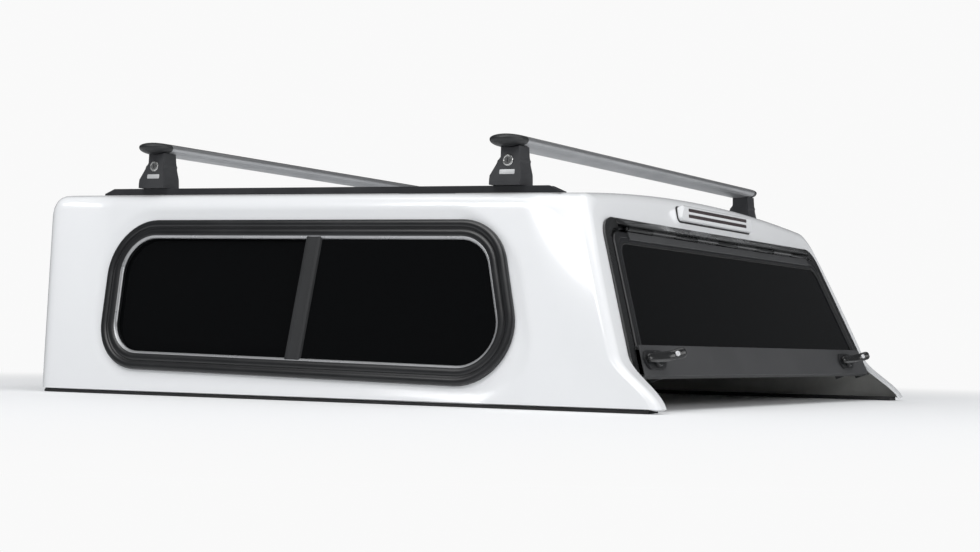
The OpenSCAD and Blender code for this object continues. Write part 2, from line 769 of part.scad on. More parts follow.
// High brake light on the header: a wedge-shaped hood with two long lens strips
light_low = door_top + light_gap;
light_out = 18;
light_lift = 0.1;
slot_h = 7;
slot_in = 36;
slot_depth = 5;
module light_slots(clearance) {
    for (i = [0, 1])
        translate([0, light_low + light_h * (0.3 + 0.36 * i), 0])
            linear_extrude(far) polygon(round_box(
                light_w - 2 * slot_in - 2 * clearance, slot_h - 2 * clearance, slot_h / 2.5, 3));
}
light_profile = round_polygon([
    [light_low, light_lift], [light_low + light_h, light_lift], [light_low + light_h, light_out * 0.8],
    [light_low + light_h * 0.8, light_out], [light_low, light_out * 0.5]
], [0, 0, 3, 6, 3], 4);
module light_hood(cut) {
    along_x(far) polygon([for (p = light_profile) [p[0], p[1] - cut]]);
}
module brake_light_housing() {
    color("white") on_rear() difference() {
        intersection() {
            light_hood(0);
            linear_extrude(far) polygon(round_polygon([
                [-light_w / 2, light_low], [light_w / 2, light_low],
                [light_w / 2 - light_h / 2, light_low + light_h],
                [light_h / 2 - light_w / 2, light_low + light_h]
            ], [6, 6, 10, 10], 4));
        }
        difference() {
            light_slots(0);
            light_hood(slot_depth);
        }
    }
}
module brake_light_lens() {
    color("#5a1518") on_rear() intersection() {
        difference() {
            light_slots(0);
            light_hood(slot_depth);
        }
        light_hood(1);
    }
}

// Roof tracks with a T-slot, lying on the roof's curve
slot_w = 9;
channel_w = 17;
channel_h = 6;
lip = 3;
track_taper = 26;
track_cant = tan(asin(track_x / roof_r));
module on_track() {
    translate([track_x, 0, roof_z(track_x, 0) + fit]) rotate([roof_pitch, 0, 0]) children();
}
module roof_track() {
    middle = track_front - track_l / 2;
    color("#202124") on_track() intersection() {
        translate([0, middle + far / 2, 0]) rotate([90, 0, 0]) linear_extrude(far) polygon([
            [-track_w / 2, track_cant * track_w / 2], [track_w / 2, -track_cant * track_w / 2],
            [track_w / 2, track_h], [slot_w / 2, track_h], [slot_w / 2, track_h - lip],
            [channel_w / 2, track_h - lip], [channel_w / 2, track_h - lip - channel_h],
            [-channel_w / 2, track_h - lip - channel_h], [-channel_w / 2, track_h - lip],
            [-slot_w / 2, track_h - lip], [-slot_w / 2, track_h], [-track_w / 2, track_h]
        ]);
        translate([0, middle, 0]) along_x(2 * track_w) polygon([
            [-track_l / 2, -track_h], [track_l / 2, -track_h], [track_l / 2, gauge],
            [track_l / 2 - track_taper, track_h], [track_taper - track_l / 2, track_h],
            [-track_l / 2, gauge]
        ]);
    }
}
module left_roof_track() { right() roof_track(); }
module right_roof_track() { roof_track(); }

// Crossbars: a hollow wing section, closed by end caps, on feet clamped in the tracks
cap_l = 46;
wing_steps = 28;
function wing(chord, t) = [for (i = [0 : wing_steps - 1]) let (a = 360 * i / wing_steps)
    [chord / 2 * cos(a), t / 2 * sign(sin(a)) * pow(abs(sin(a)), 0.8)]];
bar_z = track_h + foot_h + bar_t / 2;
module on_bar(y) {
    translate([0, 0, roof_z(track_x, 0) + fit]) rotate([roof_pitch, 0, 0])
        translate([0, y, bar_z]) children();
}
module crossbar(y) {
    color("#4a4b4e") on_bar(y) along_x(bar_l - 2 * cap_l) difference() {
        polygon(wing(bar_chord, bar_t));
        difference() {
            polygon(wing(bar_chord - 2 * bar_wall, bar_t - 2 * bar_wall));
            square([bar_wall, bar_t], center = true);
        }
    }
}
module bar_caps(y) {
    color("#151618") on_bar(y) intersection() {
        along_x(bar_l) polygon(wing(bar_chord, bar_t));
        translate([0, 0, -bar_t]) linear_extrude(2 * bar_t) difference() {
            polygon(round_box(bar_l, bar_chord, bar_chord * 0.42, 8));
            square([bar_l - 2 * cap_l, 2 * bar_chord], center = true);
        }
    }
}
module front_crossbar() { crossbar(front_bar_y); }
module rear_crossbar() { crossbar(rear_bar_y); }
module front_bar_caps() { bar_caps(front_bar_y); }
module rear_bar_caps() { bar_caps(rear_bar_y); }

foot_top = foot_h + bar_t / 2;
lock_r = 9;
lock_up = 38;
lock_in = 14;
lock_out = 26;
clamp_l = 44;
head_t = 4;
head_drop = 0.5;
foot_face = round_polygon([
    [-foot_l / 2, fit], [foot_l / 2, fit], [foot_l / 2, 16], [foot_l * 0.24, foot_h * 0.68],
    [foot_l * 0.32, foot_h], [foot_l * 0.32, foot_top], [-foot_l * 0.32, foot_top],
    [-foot_l * 0.32, foot_h], [-foot_l * 0.25, foot_h * 0.7], [-foot_l * 0.4, 30], [-foot_l / 2, 22]
], [0, 0, 8, 16, 6, 0, 0, 6, 16, 8, 4], 4);
foot_section = round_polygon([
    [-foot_w * 0.5, fit], [foot_w * 0.5, fit], [foot_w * 0.5, 8],
    [foot_w * 0.34, foot_top], [-foot_w * 0.36, foot_top], [-foot_w * 0.5, 8]
], [0, 0, 6, 0, 0, 6], 4);
module rack_foot(y) {
    on_track() translate([0, y, track_h]) {
        difference() {
            intersection() {
                along_x(far) polygon(foot_face);
                rotate([90, 0, 0]) linear_extrude(far, center = true) polygon(foot_section);
            }
            translate([0, 0, foot_h + bar_t / 2]) along_x(far) polygon(wing(bar_chord, bar_t));
            translate([lock_in, 0, lock_up]) rotate([0, 90, 0]) cylinder(r = lock_r + fit, h = foot_w);
        }
        translate([fit - slot_w / 2, -clamp_l / 2, -lip - head_drop])
            cube([slot_w - 2 * fit, clamp_l, lip + head_drop + 1]);
        translate([1 - channel_w / 2, -clamp_l / 2, -lip - head_drop - head_t])
            cube([channel_w - 2, clamp_l, head_t]);
    }
}
module foot_lock(y) {
    on_track() translate([lock_in, y, track_h + lock_up]) rotate([0, 90, 0])
        cylinder(r = lock_r, h = lock_out - lock_in);
}
module both() {
    children();
    right() children();
}
module front_rack_feet() { color("#2c2d30") both() rack_foot(front_bar_y); }
module rear_rack_feet() { color("#2c2d30") both() rack_foot(rear_bar_y); }
module front_foot_locks() { color("silver") both() foot_lock(front_bar_y); }
module rear_foot_locks() { color("silver") both() foot_lock(rear_bar_y); }

roof();
left_side();
right_side();
front_wall();
rear_header();
left_rear_post();
right_rear_post();
left_base_seal();
right_base_seal();
front_base_seal();
left_window_frame();
left_window_sash();
left_fixed_glass();
left_sliding_glass();
right_window_frame();
right_window_sash();
right_fixed_glass();
right_sliding_glass();
window_latches();
front_window_frame();
front_window_glass();
door_surround();
door_hinge_pin();
door_frame();
door_bottom_rail();
door_glass();
left_handle_base();
right_handle_base();
left_handle_lever();
right_handle_lever();
left_strut_tube();
right_strut_tube();
left_strut_rod();
right_strut_rod();
brake_light_housing();
brake_light_lens();
left_roof_track();
right_roof_track();
front_crossbar();
rear_crossbar();
front_bar_caps();
rear_bar_caps();
front_rack_feet();
rear_rack_feet();
front_foot_locks();
rear_foot_locks();
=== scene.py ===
# %% [markdown]
# # A hard canopy for a pickup's bed
# The canopy is one glossy white moulding with black-framed windows, a lift-up glass door at the rear
# and two crossbars on roof tracks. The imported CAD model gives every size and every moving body. This
# lesson dresses it: each step says what a piece is on the real canopy and how it is made here.

# %% Load the frame
import math
import bmesh
import bpy
from mathutils import Matrix, Vector


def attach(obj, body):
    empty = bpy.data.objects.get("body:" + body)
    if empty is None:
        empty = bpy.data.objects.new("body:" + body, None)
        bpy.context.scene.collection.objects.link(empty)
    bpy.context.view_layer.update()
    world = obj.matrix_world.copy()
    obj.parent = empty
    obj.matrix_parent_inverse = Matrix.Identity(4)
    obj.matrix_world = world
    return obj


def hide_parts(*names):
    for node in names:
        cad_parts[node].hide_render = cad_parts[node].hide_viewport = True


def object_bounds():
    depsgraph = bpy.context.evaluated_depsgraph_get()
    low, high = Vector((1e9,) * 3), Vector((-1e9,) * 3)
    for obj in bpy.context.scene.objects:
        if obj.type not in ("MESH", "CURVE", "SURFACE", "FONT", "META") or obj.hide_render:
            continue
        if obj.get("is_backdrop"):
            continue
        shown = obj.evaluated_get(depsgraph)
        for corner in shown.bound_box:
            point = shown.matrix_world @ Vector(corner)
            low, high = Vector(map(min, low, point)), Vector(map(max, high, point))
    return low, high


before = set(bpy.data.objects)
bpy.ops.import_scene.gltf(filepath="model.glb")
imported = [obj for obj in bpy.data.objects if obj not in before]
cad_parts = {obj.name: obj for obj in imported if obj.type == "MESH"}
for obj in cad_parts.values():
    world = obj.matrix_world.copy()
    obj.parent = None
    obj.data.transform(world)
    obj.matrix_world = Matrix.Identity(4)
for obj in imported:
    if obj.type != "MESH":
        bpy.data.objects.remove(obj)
cad_box = [list(corner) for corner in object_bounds()]

# %% [markdown]
# ## Sizes
# The moulded skin and the swept frames below are drawn again at a finer step than the solids, so
# their sizes are repeated here in millimetres. Everything else is read from the nodes themselves.

# %% Sizes of the shell
MM = 0.001
half_w, base_l, crown_h, roof_r = 716.0, 1452.0, 436.0, 6500.0
roof_slope = math.tan(math.radians(1.3))
wall_t, seal_h = 6.0, 8.0
front_slope, rear_slope = math.tan(math.radians(6.3)), math.tan(math.radians(21.5))
side_tan, end_tan = math.tan(math.radians(13.6)), math.tan(math.radians(9))
rear_bow, front_blend, rear_blend = 81.0, 170.0, 120.0
shoulder, front_r, rear_r = 28.0, 45.0, 18.0
toe_l, toe_h, toe_run = 55.0, 100.0, 140.0
front_y = (base_l - front_slope * crown_h) / 2
rear_y = front_y - base_l + toe_l
print("front wall at", round(front_y), "mm, rear wall at", round(rear_y), "mm")

# %% Small helpers for points and meshes
def mix(a, b, t):
    return a + (b - a) * t


def smooth(t):
    t = max(0.0, min(1.0, t))
    return t * t * (3 - 2 * t)


def new_piece(name, points, faces, material, angle=32):
    """A mesh from points in millimetres, with edges sharper than the angle kept crisp."""
    mesh = bpy.data.meshes.new(name)
    mesh.from_pydata([[c * MM for c in p] for p in points], [], faces)
    piece = bpy.data.objects.new(name, mesh)
    bpy.context.scene.collection.objects.link(piece)
    mesh.materials.append(material)
    crisp(mesh, angle)
    return piece


def crisp(mesh, angle=32):
    """Smooth shading, with the edges that turn more than the angle marked sharp."""
    bm = bmesh.new()
    bm.from_mesh(mesh)
    for face in bm.faces:
        face.smooth = True
    for edge in bm.edges:
        edge.smooth = len(edge.link_faces) == 2 and edge.calc_face_angle(0) < math.radians(angle)
    bm.to_mesh(mesh)
    bm.free()


def face_out(mesh, merge=0.0):
    """Turns the faces outwards, after points closer than the distance are merged."""
    bm = bmesh.new()
    bm.from_mesh(mesh)
    if merge:
        bmesh.ops.remove_doubles(bm, verts=bm.verts, dist=merge)
    bmesh.ops.recalc_face_normals(bm, faces=bm.faces)
    bm.to_mesh(mesh)
    bm.free()


def baked(piece):
    """Turns a piece's modifiers into plain mesh."""
    graph = bpy.context.evaluated_depsgraph_get()
    mesh = bpy.data.meshes.new_from_object(piece.evaluated_get(graph))
    piece.modifiers.clear()
    old, piece.data = piece.data, mesh
    bpy.data.meshes.remove(old)
    return piece


def modifier(piece, kind, **settings):
    m = piece.modifiers.new(kind.lower(), kind)
    for key, value in settings.items():
        setattr(m, key, value)
    return m


def dress(piece, body, slot, *nodes):
    """Lets a piece ride on its body and stand for its nodes. The slot is not used."""
    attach(piece, body)
    if nodes:
        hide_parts(*nodes)
    print(f"{piece.name}: {len(piece.data.polygons)} faces on {body}")
    return piece

# %% [markdown]
# ## Finishes
# Two node groups serve nearly every finish. `grain` turns noise of two sizes into a height for a
# Bump node, as fine orange peel, moulded grain or cast skin. `patina` lets a colour and a roughness
# drift between two values over the surface, because no real coat is perfectly even.

# %% The grain and patina groups
def node_group(name, inputs, outputs):
    tree = bpy.data.node_groups.new(name, "ShaderNodeTree")
    for label, kind, value in inputs:
        socket = tree.interface.new_socket(label, in_out="INPUT", socket_type=kind)
        if value is not None:
            socket.default_value = value
    for label, kind in outputs:
        tree.interface.new_socket(label, in_out="OUTPUT", socket_type=kind)
    return tree, tree.nodes.new("NodeGroupInput"), tree.nodes.new("NodeGroupOutput")


def add(tree, kind, links=(), **settings):
    """A node with its settings and its input links or values, both given by name."""
    node = tree.nodes.new(kind)
    for key, value in settings.items():
        setattr(node, key, value)
    for key, value in links:
        if isinstance(value, bpy.types.NodeSocket):
            tree.links.new(value, node.inputs[key])
        else:
            node.inputs[key].default_value = value
    return node


grain, g_in, g_out = node_group(
    "grain", [("Vector", "NodeSocketVector", None), ("Fine Scale", "NodeSocketFloat", 600.0),
              ("Broad Scale", "NodeSocketFloat", 60.0), ("Broad Share", "NodeSocketFloat", 0.3)],
    [("Height", "NodeSocketFloat")])
fine = add(grain, "ShaderNodeTexNoise", [("Vector", g_in.outputs["Vector"]),
           ("Scale", g_in.outputs["Fine Scale"]), ("Detail", 3.0), ("Roughness", 0.6)])
broad = add(grain, "ShaderNodeTexNoise", [("Vector", g_in.outputs["Vector"]),
            ("Scale", g_in.outputs["Broad Scale"]), ("Detail", 2.0)])
blend = add(grain, "ShaderNodeMix", [("Factor", g_in.outputs["Broad Share"]),
            ("A", fine.outputs["Fac"]), ("B", broad.outputs["Fac"])])
grain.links.new(blend.outputs["Result"], g_out.inputs["Height"])

patina, p_in, p_out = node_group(
    "patina", [("Vector", "NodeSocketVector", None), ("Scale", "NodeSocketFloat", 6.0),
               ("Color", "NodeSocketColor", None), ("Drift Color", "NodeSocketColor", None),
               ("Roughness", "NodeSocketFloat", 0.4), ("Drift Roughness", "NodeSocketFloat", 0.5)],
    [("Color", "NodeSocketColor"), ("Roughness", "NodeSocketFloat")])
cloud = add(patina, "ShaderNodeTexNoise", [("Vector", p_in.outputs["Vector"]),
            ("Scale", p_in.outputs["Scale"]), ("Detail", 5.0), ("Roughness", 0.65)])
mask = add(patina, "ShaderNodeMapRange", [("Value", cloud.outputs["Fac"]),
           ("From Min", 0.35), ("From Max", 0.7)])
tint = add(patina, "ShaderNodeMix", data_type="RGBA")
for key, value in ((0, mask.outputs["Result"]), (6, p_in.outputs["Color"]),
                   (7, p_in.outputs["Drift Color"])):
    patina.links.new(value, tint.inputs[key])
rough = add(patina, "ShaderNodeMix", [("Factor", mask.outputs["Result"]),
            ("A", p_in.outputs["Roughness"]), ("B", p_in.outputs["Drift Roughness"])])
patina.links.new(tint.outputs[2], p_out.inputs["Color"])
patina.links.new(rough.outputs["Result"], p_out.inputs["Roughness"])
print("groups:", grain.name, patina.name)

# %% A finish from the two groups
def finish(name, color, drift, rough, rough_drift, metal=0.0, fine=600.0, broad=60.0, share=0.3,
           depth=0.00005, strength=0.3, scale=6.0, stretch=(1, 1, 1), **shader):
    """A material whose colour and roughness drift, with a fine grain in its surface."""
    material = bpy.data.materials.new(name)
    material.use_nodes = True
    tree = material.node_tree
    bsdf = tree.nodes["Principled BSDF"]
    place = add(tree, "ShaderNodeTexCoord").outputs["Object"]
    turned = add(tree, "ShaderNodeMapping", [("Vector", place), ("Scale", stretch)]).outputs["Vector"]
    drifted = add(tree, "ShaderNodeGroup", node_tree=patina)
    grained = add(tree, "ShaderNodeGroup", node_tree=grain)
    for node, values in ((drifted, {"Vector": place, "Scale": scale, "Color": (*color, 1),
                                    "Drift Color": (*drift, 1), "Roughness": rough,
                                    "Drift Roughness": rough_drift}),
                         (grained, {"Vector": turned, "Fine Scale": fine, "Broad Scale": broad,
                                    "Broad Share": share})):
        for key, value in values.items():
            if isinstance(value, bpy.types.NodeSocket):
                tree.links.new(value, node.inputs[key])
            else:
                node.inputs[key].default_value = value
    bump = add(tree, "ShaderNodeBump", [("Height", grained.outputs["Height"]),
               ("Strength", strength), ("Distance", depth)])
    tree.links.new(drifted.outputs["Color"], bsdf.inputs["Base Color"])
    tree.links.new(drifted.outputs["Roughness"], bsdf.inputs["Roughness"])
    tree.links.new(bump.outputs["Normal"], bsdf.inputs["Normal"])
    bsdf.inputs["Metallic"].default_value = metal
    for key, value in shader.items():
        bsdf.inputs[key.replace("_", " ")].default_value = value
    return material


gelcoat = finish("white_gelcoat", (0.870, 0.878, 0.888), (0.858, 0.866, 0.878), 0.24, 0.27, fine=420,
                 broad=90, depth=0.00002, strength=0.03, Coat_Weight=0.9, Coat_Roughness=0.11)
laminate = finish("bare_laminate", (0.52, 0.52, 0.50), (0.42, 0.42, 0.40), 0.62, 0.78, fine=260,
                  broad=45, share=0.6, depth=0.0012, strength=0.7, scale=11)
frame_black = finish("frame_black", (0.010, 0.0105, 0.0115), (0.015, 0.0155, 0.017), 0.30, 0.40,
                     fine=900, depth=0.00005, strength=0.3, Coat_Weight=0.12, Coat_Roughness=0.25)
gloss_black = finish("gloss_black", (0.011, 0.0115, 0.012), (0.017, 0.0175, 0.018), 0.24, 0.32,
                     fine=700, depth=0.00005, strength=0.25, Coat_Weight=0.25, Coat_Roughness=0.12)
# The light metal of the thin line on the window frames' inner edge: a painted highlight.
highlight_trim = finish("painted_highlight_trim", (0.46, 0.465, 0.475), (0.38, 0.385, 0.39), 0.24, 0.34, metal=0.5,
                     fine=900, depth=0.00005, strength=0.3)
label_plate = finish("bare_plate", (0.62, 0.625, 0.63), (0.56, 0.565, 0.57), 0.40, 0.50, metal=0.3,
                     fine=1500, depth=0.00005, strength=0.3, scale=40)
divider_grey = finish("divider_grey", (0.018, 0.019, 0.020), (0.024, 0.025, 0.027), 0.55, 0.64,
                      fine=1200, depth=0.00008, strength=0.45)
rail_grey = finish("rail_grey", (0.050, 0.051, 0.053), (0.060, 0.061, 0.063), 0.50, 0.58,
                   fine=1100, depth=0.00008, strength=0.45)
rubber = finish("seal_rubber", (0.016, 0.016, 0.017), (0.028, 0.028, 0.028), 0.72, 0.86,
                fine=500, depth=0.0002, strength=0.5, scale=14)
moulded = finish("moulded_black", (0.016, 0.017, 0.018), (0.023, 0.024, 0.026), 0.38, 0.50,
                 fine=1500, broad=240, depth=0.0001, strength=0.5, scale=18)
foot_black = finish("foot_plastic", (0.034, 0.035, 0.038), (0.044, 0.045, 0.048), 0.45, 0.58,
                    fine=1300, broad=200, depth=0.0001, strength=0.5, scale=20)
bar_alloy = finish("bar_alloy", (0.50, 0.505, 0.515), (0.43, 0.435, 0.445), 0.36, 0.46, metal=0.85,
                   fine=900, broad=300, depth=0.00008, strength=0.4, stretch=(0.04, 1, 1))
track_black = finish("track_black", (0.030, 0.031, 0.034), (0.042, 0.043, 0.046), 0.36, 0.46,
                     fine=900, depth=0.00008, strength=0.4, stretch=(1, 0.05, 1), metal=0.3)
bright_steel = finish("bright_steel", (0.62, 0.62, 0.61), (0.50, 0.50, 0.49), 0.22, 0.34, metal=1.0,
                      fine=1400, broad=300, depth=0.00005, strength=0.3, scale=30)
smoked_lens = finish("smoked_lens", (0.066, 0.048, 0.049), (0.050, 0.038, 0.039), 0.14, 0.18,
                     fine=300, depth=0.0001, strength=0.15, Coat_Weight=0.8, Coat_Roughness=0.03)
print("finishes:", len(bpy.data.materials))

# %% [markdown]
# ### Privacy glass
# The panes are so dark that they read as black mirrors, yet a little light still crosses them. A plain
# transmissive shader does that: the colour is taken once on the way in and once on the way out.

# %% Dark glass
privacy_glass = bpy.data.materials.new("privacy_glass")
privacy_glass.use_nodes = True
tree = privacy_glass.node_tree
pane = tree.nodes["Principled BSDF"]
place = add(tree, "ShaderNodeTexCoord").outputs["Object"]
streaks = add(tree, "ShaderNodeTexNoise", [("Vector", place), ("Scale", 5.0), ("Detail", 4.0)])
haze = add(tree, "ShaderNodeMapRange", [("Value", streaks.outputs["Fac"]), ("To Min", 0.015),
           ("To Max", 0.045)])
tree.links.new(haze.outputs["Result"], pane.inputs["Roughness"])
for key, value in (("Base Color", (0.004, 0.0043, 0.0047, 1)), ("Transmission Weight", 0.22),
                   ("IOR", 1.42), ("Specular IOR Level", 0.10)):
    pane.inputs[key].default_value = value
print("glass:", privacy_glass.name)

# %% [markdown]
# ## The moulded shell
# The real shell is one skin of laminate. Its sides lean in, its ends lean forward, the corners roll,
# and each side throws a toe back over the bed's end. A side's half width is a rule of place and
# height, so the skin is a grid: stations run from front to rear, and each station is one leaning
# section from the left foot over the roof to the right foot.

# %% The rules of the shell's surface
def roof_z(x, y):
    return crown_h + roof_slope * y - roof_r + math.sqrt(roof_r * roof_r - x * x)


def side_x(y, z):
    f = smooth(1 - (front_y + front_slope * z - y) / front_blend)
    r = smooth(1 - (y - rear_y - rear_slope * z) / rear_blend)
    up = z - seal_h
    return half_w - up * mix(mix(side_tan, end_tan, f), end_tan, r) - (up / crown_h) ** 2 * rear_bow * r


def toe(z):
    return toe_l * smooth((toe_h - z) / (toe_h - seal_h))


def roll(r, t, a):
    return t + (r - t) * (1 - math.cos(a)), t + (r - t) * (1 - math.sin(a))


def stations(t, steps=10):
    """Leaning sections as (y at z = 0, slope, inset, share of the toe), from front to rear."""
    out = []
    for i in range(steps):
        back, inset = roll(front_r, t, math.pi / 2 * i / steps)
        out.append((front_y - back, front_slope, inset, 0.0))
    rear_zone = max(rear_blend, rear_r + toe_run)
    ends = [(front_y - mix(front_r, 290, i / 34), front_slope) for i in range(35)]
    a, b = front_y - 290, rear_y + rear_zone + 160
    ends += [(mix(a, b, i / 12), mix(front_slope, rear_slope, i / 12)) for i in range(1, 12)]
    ends += [(rear_y + mix(rear_r, rear_zone + 160, i / 44), rear_slope) for i in range(44, -1, -1)]
    for y, slope in ends:
        out.append((y, slope, t, smooth(1 - (y - rear_y - rear_r) / toe_run)))
    for i in range(steps - 1, -1, -1):
        back, inset = roll(rear_r, t, math.pi / 2 * i / steps)
        out.append((rear_y + back, rear_slope, inset, 1.0))
    return out

# %% [markdown]
# ### The recess round a side window
# The photograph shows a soft step in the white skin all round each side window: the lower ramp
# catches the light and the upper one is in shade. It is a displacement of the grid by the distance
# from the window's outline, which is a box with round corners lying in the leaning side.

# %% Local frames of the windows and of the rear wall
window_l, window_h, window_r = 984.0, 320.0, 110.0
window_y, window_up, window_rake = 59.0, 198.0, math.radians(1.1)
front_rake, rear_rake = math.radians(5.7), math.radians(18.2)
side_lean, front_lean, rear_lean = math.radians(13.6), math.radians(6.3), math.radians(21.5)


def in_side(u, v, w):
    """A point of the left window's own frame: u towards the rear, v up the slope, w outwards."""
    along = u * math.cos(window_rake) + v * math.sin(window_rake) - window_y
    up = v * math.cos(window_rake) - u * math.sin(window_rake) + window_up
    return (-half_w + up * math.sin(side_lean) - w * math.cos(side_lean), -along,
            seal_h + up * math.cos(side_lean) + w * math.sin(side_lean))


def window_distance(x, y, z):
    """Distance of a point on the left side outside the window's outline."""
    up = (x + half_w) * math.sin(side_lean) + (z - seal_h) * math.cos(side_lean) - window_up
    along = window_y - y
    u = along * math.cos(window_rake) - up * math.sin(window_rake)
    v = along * math.sin(window_rake) + up * math.cos(window_rake)
    end, rake = (1, rear_rake) if u > 0 else (-1, front_rake)
    past = (end * (u + v * math.tan(rake)) - window_l / 2) * math.cos(rake)
    qx, qy = past + window_r, abs(v) - window_h / 2 + window_r
    return math.hypot(max(qx, 0), max(qy, 0)) + min(max(qx, qy), 0) - window_r


def in_rear(x, up, out):
    """A point of the rear wall's frame: across, up the slope, outwards."""
    return (x, rear_y + up * math.sin(rear_lean) - out * math.cos(rear_lean),
            up * math.cos(rear_lean) + out * math.sin(rear_lean))


def in_front(x, up, out):
    """A point of the front window's frame: across, up the slope from its middle, outwards."""
    up += 215.0
    return (x, front_y + up * math.sin(front_lean) + out * math.cos(front_lean),
            up * math.cos(front_lean) - out * math.sin(front_lean))


def on_right(place):
    return lambda u, v, w: (lambda p: (-p[0], p[1], p[2]))(place(u, v, w))

# %% One half section of the shell at a station
recess_depth, recess_near, recess_far = 4.5, 7.0, 30.0


def on_station(s, x, z):
    return [x, s[0] + s[1] * z - toe(z) * s[3], z]


def half_section(s):
    """Points from the foot of a side up to the roof's middle, for the +X half."""
    corner = crown_h
    for _ in range(5):
        corner = roof_z(side_x(s[0] + s[1] * corner, corner), s[0] + s[1] * corner)
    top = corner - s[2] - shoulder
    points = []
    for z in [mix(seal_h, toe_h, i / 10) for i in range(10)] + [mix(toe_h, top, i / 52) for i in range(53)]:
        x = side_x(s[0] + s[1] * z, z) - s[2]
        p = on_station(s, x, z)
        if s[2] < 1:
            d = window_distance(-p[0], p[1], p[2])
            p[0] -= recess_depth * smooth((recess_far - d) / (recess_far - recess_near))
        points.append(p)
    x = side_x(s[0] + s[1] * corner, corner) - s[2]
    start, middle = points[-1], on_station(s, x, corner - s[2])
    inner_x = x - shoulder
    def roof_point(px):
        z = roof_z(px, s[0] + s[1] * roof_z(px, s[0] + s[1] * crown_h)) - s[2]
        return on_station(s, px, z)
    end = roof_point(inner_x)
    for i in range(1, 11):
        t = i / 10
        points.append([start[k] * (1 - t) ** 2 + middle[k] * 2 * t * (1 - t) + end[k] * t * t
                       for k in range(3)])
    points += [roof_point(inner_x * (1 - i / 18)) for i in range(1, 19)]
    return points

# %% The shell's grid, with its end walls
def moulded_skin():
    rows, grid = None, []
    for s in stations(0.0):
        half = half_section(s)
        grid.append([[-p[0], p[1], p[2]] for p in half] + half[-2::-1])
        rows = len(grid[-1])
    front_most = cad_box[1][1] / MM - 0.05
    points = [[p[0], min(p[1], front_most), p[2]] for row in grid for p in row]
    at = lambda i, j: i * rows + j
    faces = [(at(i, j), at(i + 1, j), at(i + 1, j + 1), at(i, j + 1))
             for i in range(len(grid) - 1) for j in range(rows - 1)]
    last, top = len(grid) - 1, rows // 2
    for j in range(top):
        k = rows - 1 - j
        if j < top - 1:
            faces.append((at(0, j), at(0, j + 1), at(0, k - 1), at(0, k)))
            faces.append((at(last, j + 1), at(last, j), at(last, k), at(last, k - 1)))
        else:
            faces.append((at(0, j), at(0, j + 1), at(0, k)))
            faces.append((at(last, j + 1), at(last, j), at(last, k)))
    return points, faces


points, faces = moulded_skin()
shell = new_piece("canopy_shell", points, faces, gelcoat)
shell.data.materials.append(laminate)
print("skin:", len(faces), "faces")

# %% [markdown]
# ### Wall and openings
# A Solidify modifier gives the skin its wall, with the rough laminate as the second material. The
# window holes and the doorway are cut by prisms, whose outlines follow the same rounded shapes as
# the frames that will sit in them.

# %% Rounded outlines
def arc_corner(a, b, c, r, n):
    a, b, c = Vector(a), Vector(b), Vector(c)
    u, v = (a - b).normalized(), (c - b).normalized()
    h = math.acos(max(-1, min(1, u.dot(v)))) / 2
    m = b + (u + v).normalized() * r / math.sin(h)
    p, q, w = b + u * r / math.tan(h) - m, b + v * r / math.tan(h) - m, math.pi - 2 * h
    return [m + (p * math.sin(w * (1 - i / n)) + q * math.sin(w * i / n)) / math.sin(w) for i in range(n + 1)]


def round_outline(points, radii, n=14):
    out, k = [], len(points)
    for i in range(k):
        if radii[i] > 0:
            out += arc_corner(points[i - 1], points[i], points[(i + 1) % k], radii[i], n)
        else:
            out.append(Vector(points[i]))
    return [(p[0], p[1]) for p in out]


def window_outline(inset):
    h, r = window_h / 2 - inset, window_r - inset
    a, da = inset / math.cos(front_rake) - window_l / 2, h * math.tan(front_rake)
    b, db = window_l / 2 - inset / math.cos(rear_rake), h * math.tan(rear_rake)
    return round_outline([(a + da, -h), (b + db, -h), (b - db, h), (a - da, h)], [r] * 4)


def front_outline(inset):
    a, b = 540.0 - inset, 135.0 - inset
    return round_outline([(-a, -b), (a, -b), (a, b), (-a, b)], [60.0 - inset] * 4)


door_top, door_low, door_r = 381.0, 64.0, 56.0
door_top_half, door_low_half = 567.0, 659.0
door_slant = math.hypot(1, (door_low_half - door_top_half) / (door_top - door_low))


def door_half(up):
    return mix(door_low_half, door_top_half, (up - door_low) / (door_top - door_low))


def doorway(side, top, low, r):
    s, high = side * door_slant, door_top - top
    return round_outline([(-door_half(low) + s, low), (door_half(low) - s, low),
                          (door_half(high) - s, high), (-door_half(high) + s, high)], [0, 0, r, r])

# %% Cut the openings and give the wall its thickness
def prism(outline, place, low, high):
    n = len(outline)
    points = [place(u, v, low) for u, v in outline] + [place(u, v, high) for u, v in outline]
    faces = [tuple(range(n - 1, -1, -1)), tuple(range(n, 2 * n))]
    faces += [(i, (i + 1) % n, n + (i + 1) % n, n + i) for i in range(n)]
    cutter = new_piece("cutter", points, faces, gelcoat)
    face_out(cutter.data)
    return cutter


modifier(shell, "SOLIDIFY", thickness=wall_t * MM, offset=-1, use_even_offset=True,
         material_offset=1, material_offset_rim=0)
lap = 10.0
cutters = [prism(window_outline(lap), in_side, -60, 60),
           prism(window_outline(lap), on_right(in_side), -60, 60),
           prism(front_outline(lap), in_front, -60, 60),
           prism(doorway(lap, lap, -200, door_r - lap), in_rear, -60, 90),
           prism(doorway(-0.5, -0.5, -200, door_r + 0.5), in_rear, -0.2, 90)]
for cutter in cutters:
    modifier(shell, "BOOLEAN", operation="DIFFERENCE", solver="EXACT", object=cutter)
baked(shell)
for cutter in cutters:
    bpy.data.objects.remove(cutter)
crisp(shell.data)
modifier(shell, "WEIGHTED_NORMAL", keep_sharp=True, weight=90)
baked(shell)
print("shell:", len(shell.data.polygons), "faces")
dress(shell, "shell", "shell", "roof", "left_side", "right_side", "front_wall", "rear_header",
      "left_rear_post", "right_rear_post")

# %% [markdown]
# ## Swept frames
# Window frames are aluminium profiles bent round an outline. A sweep makes them: each point of the
# profile has an inset from the outline and a height out of the wall, and gives one closed line.

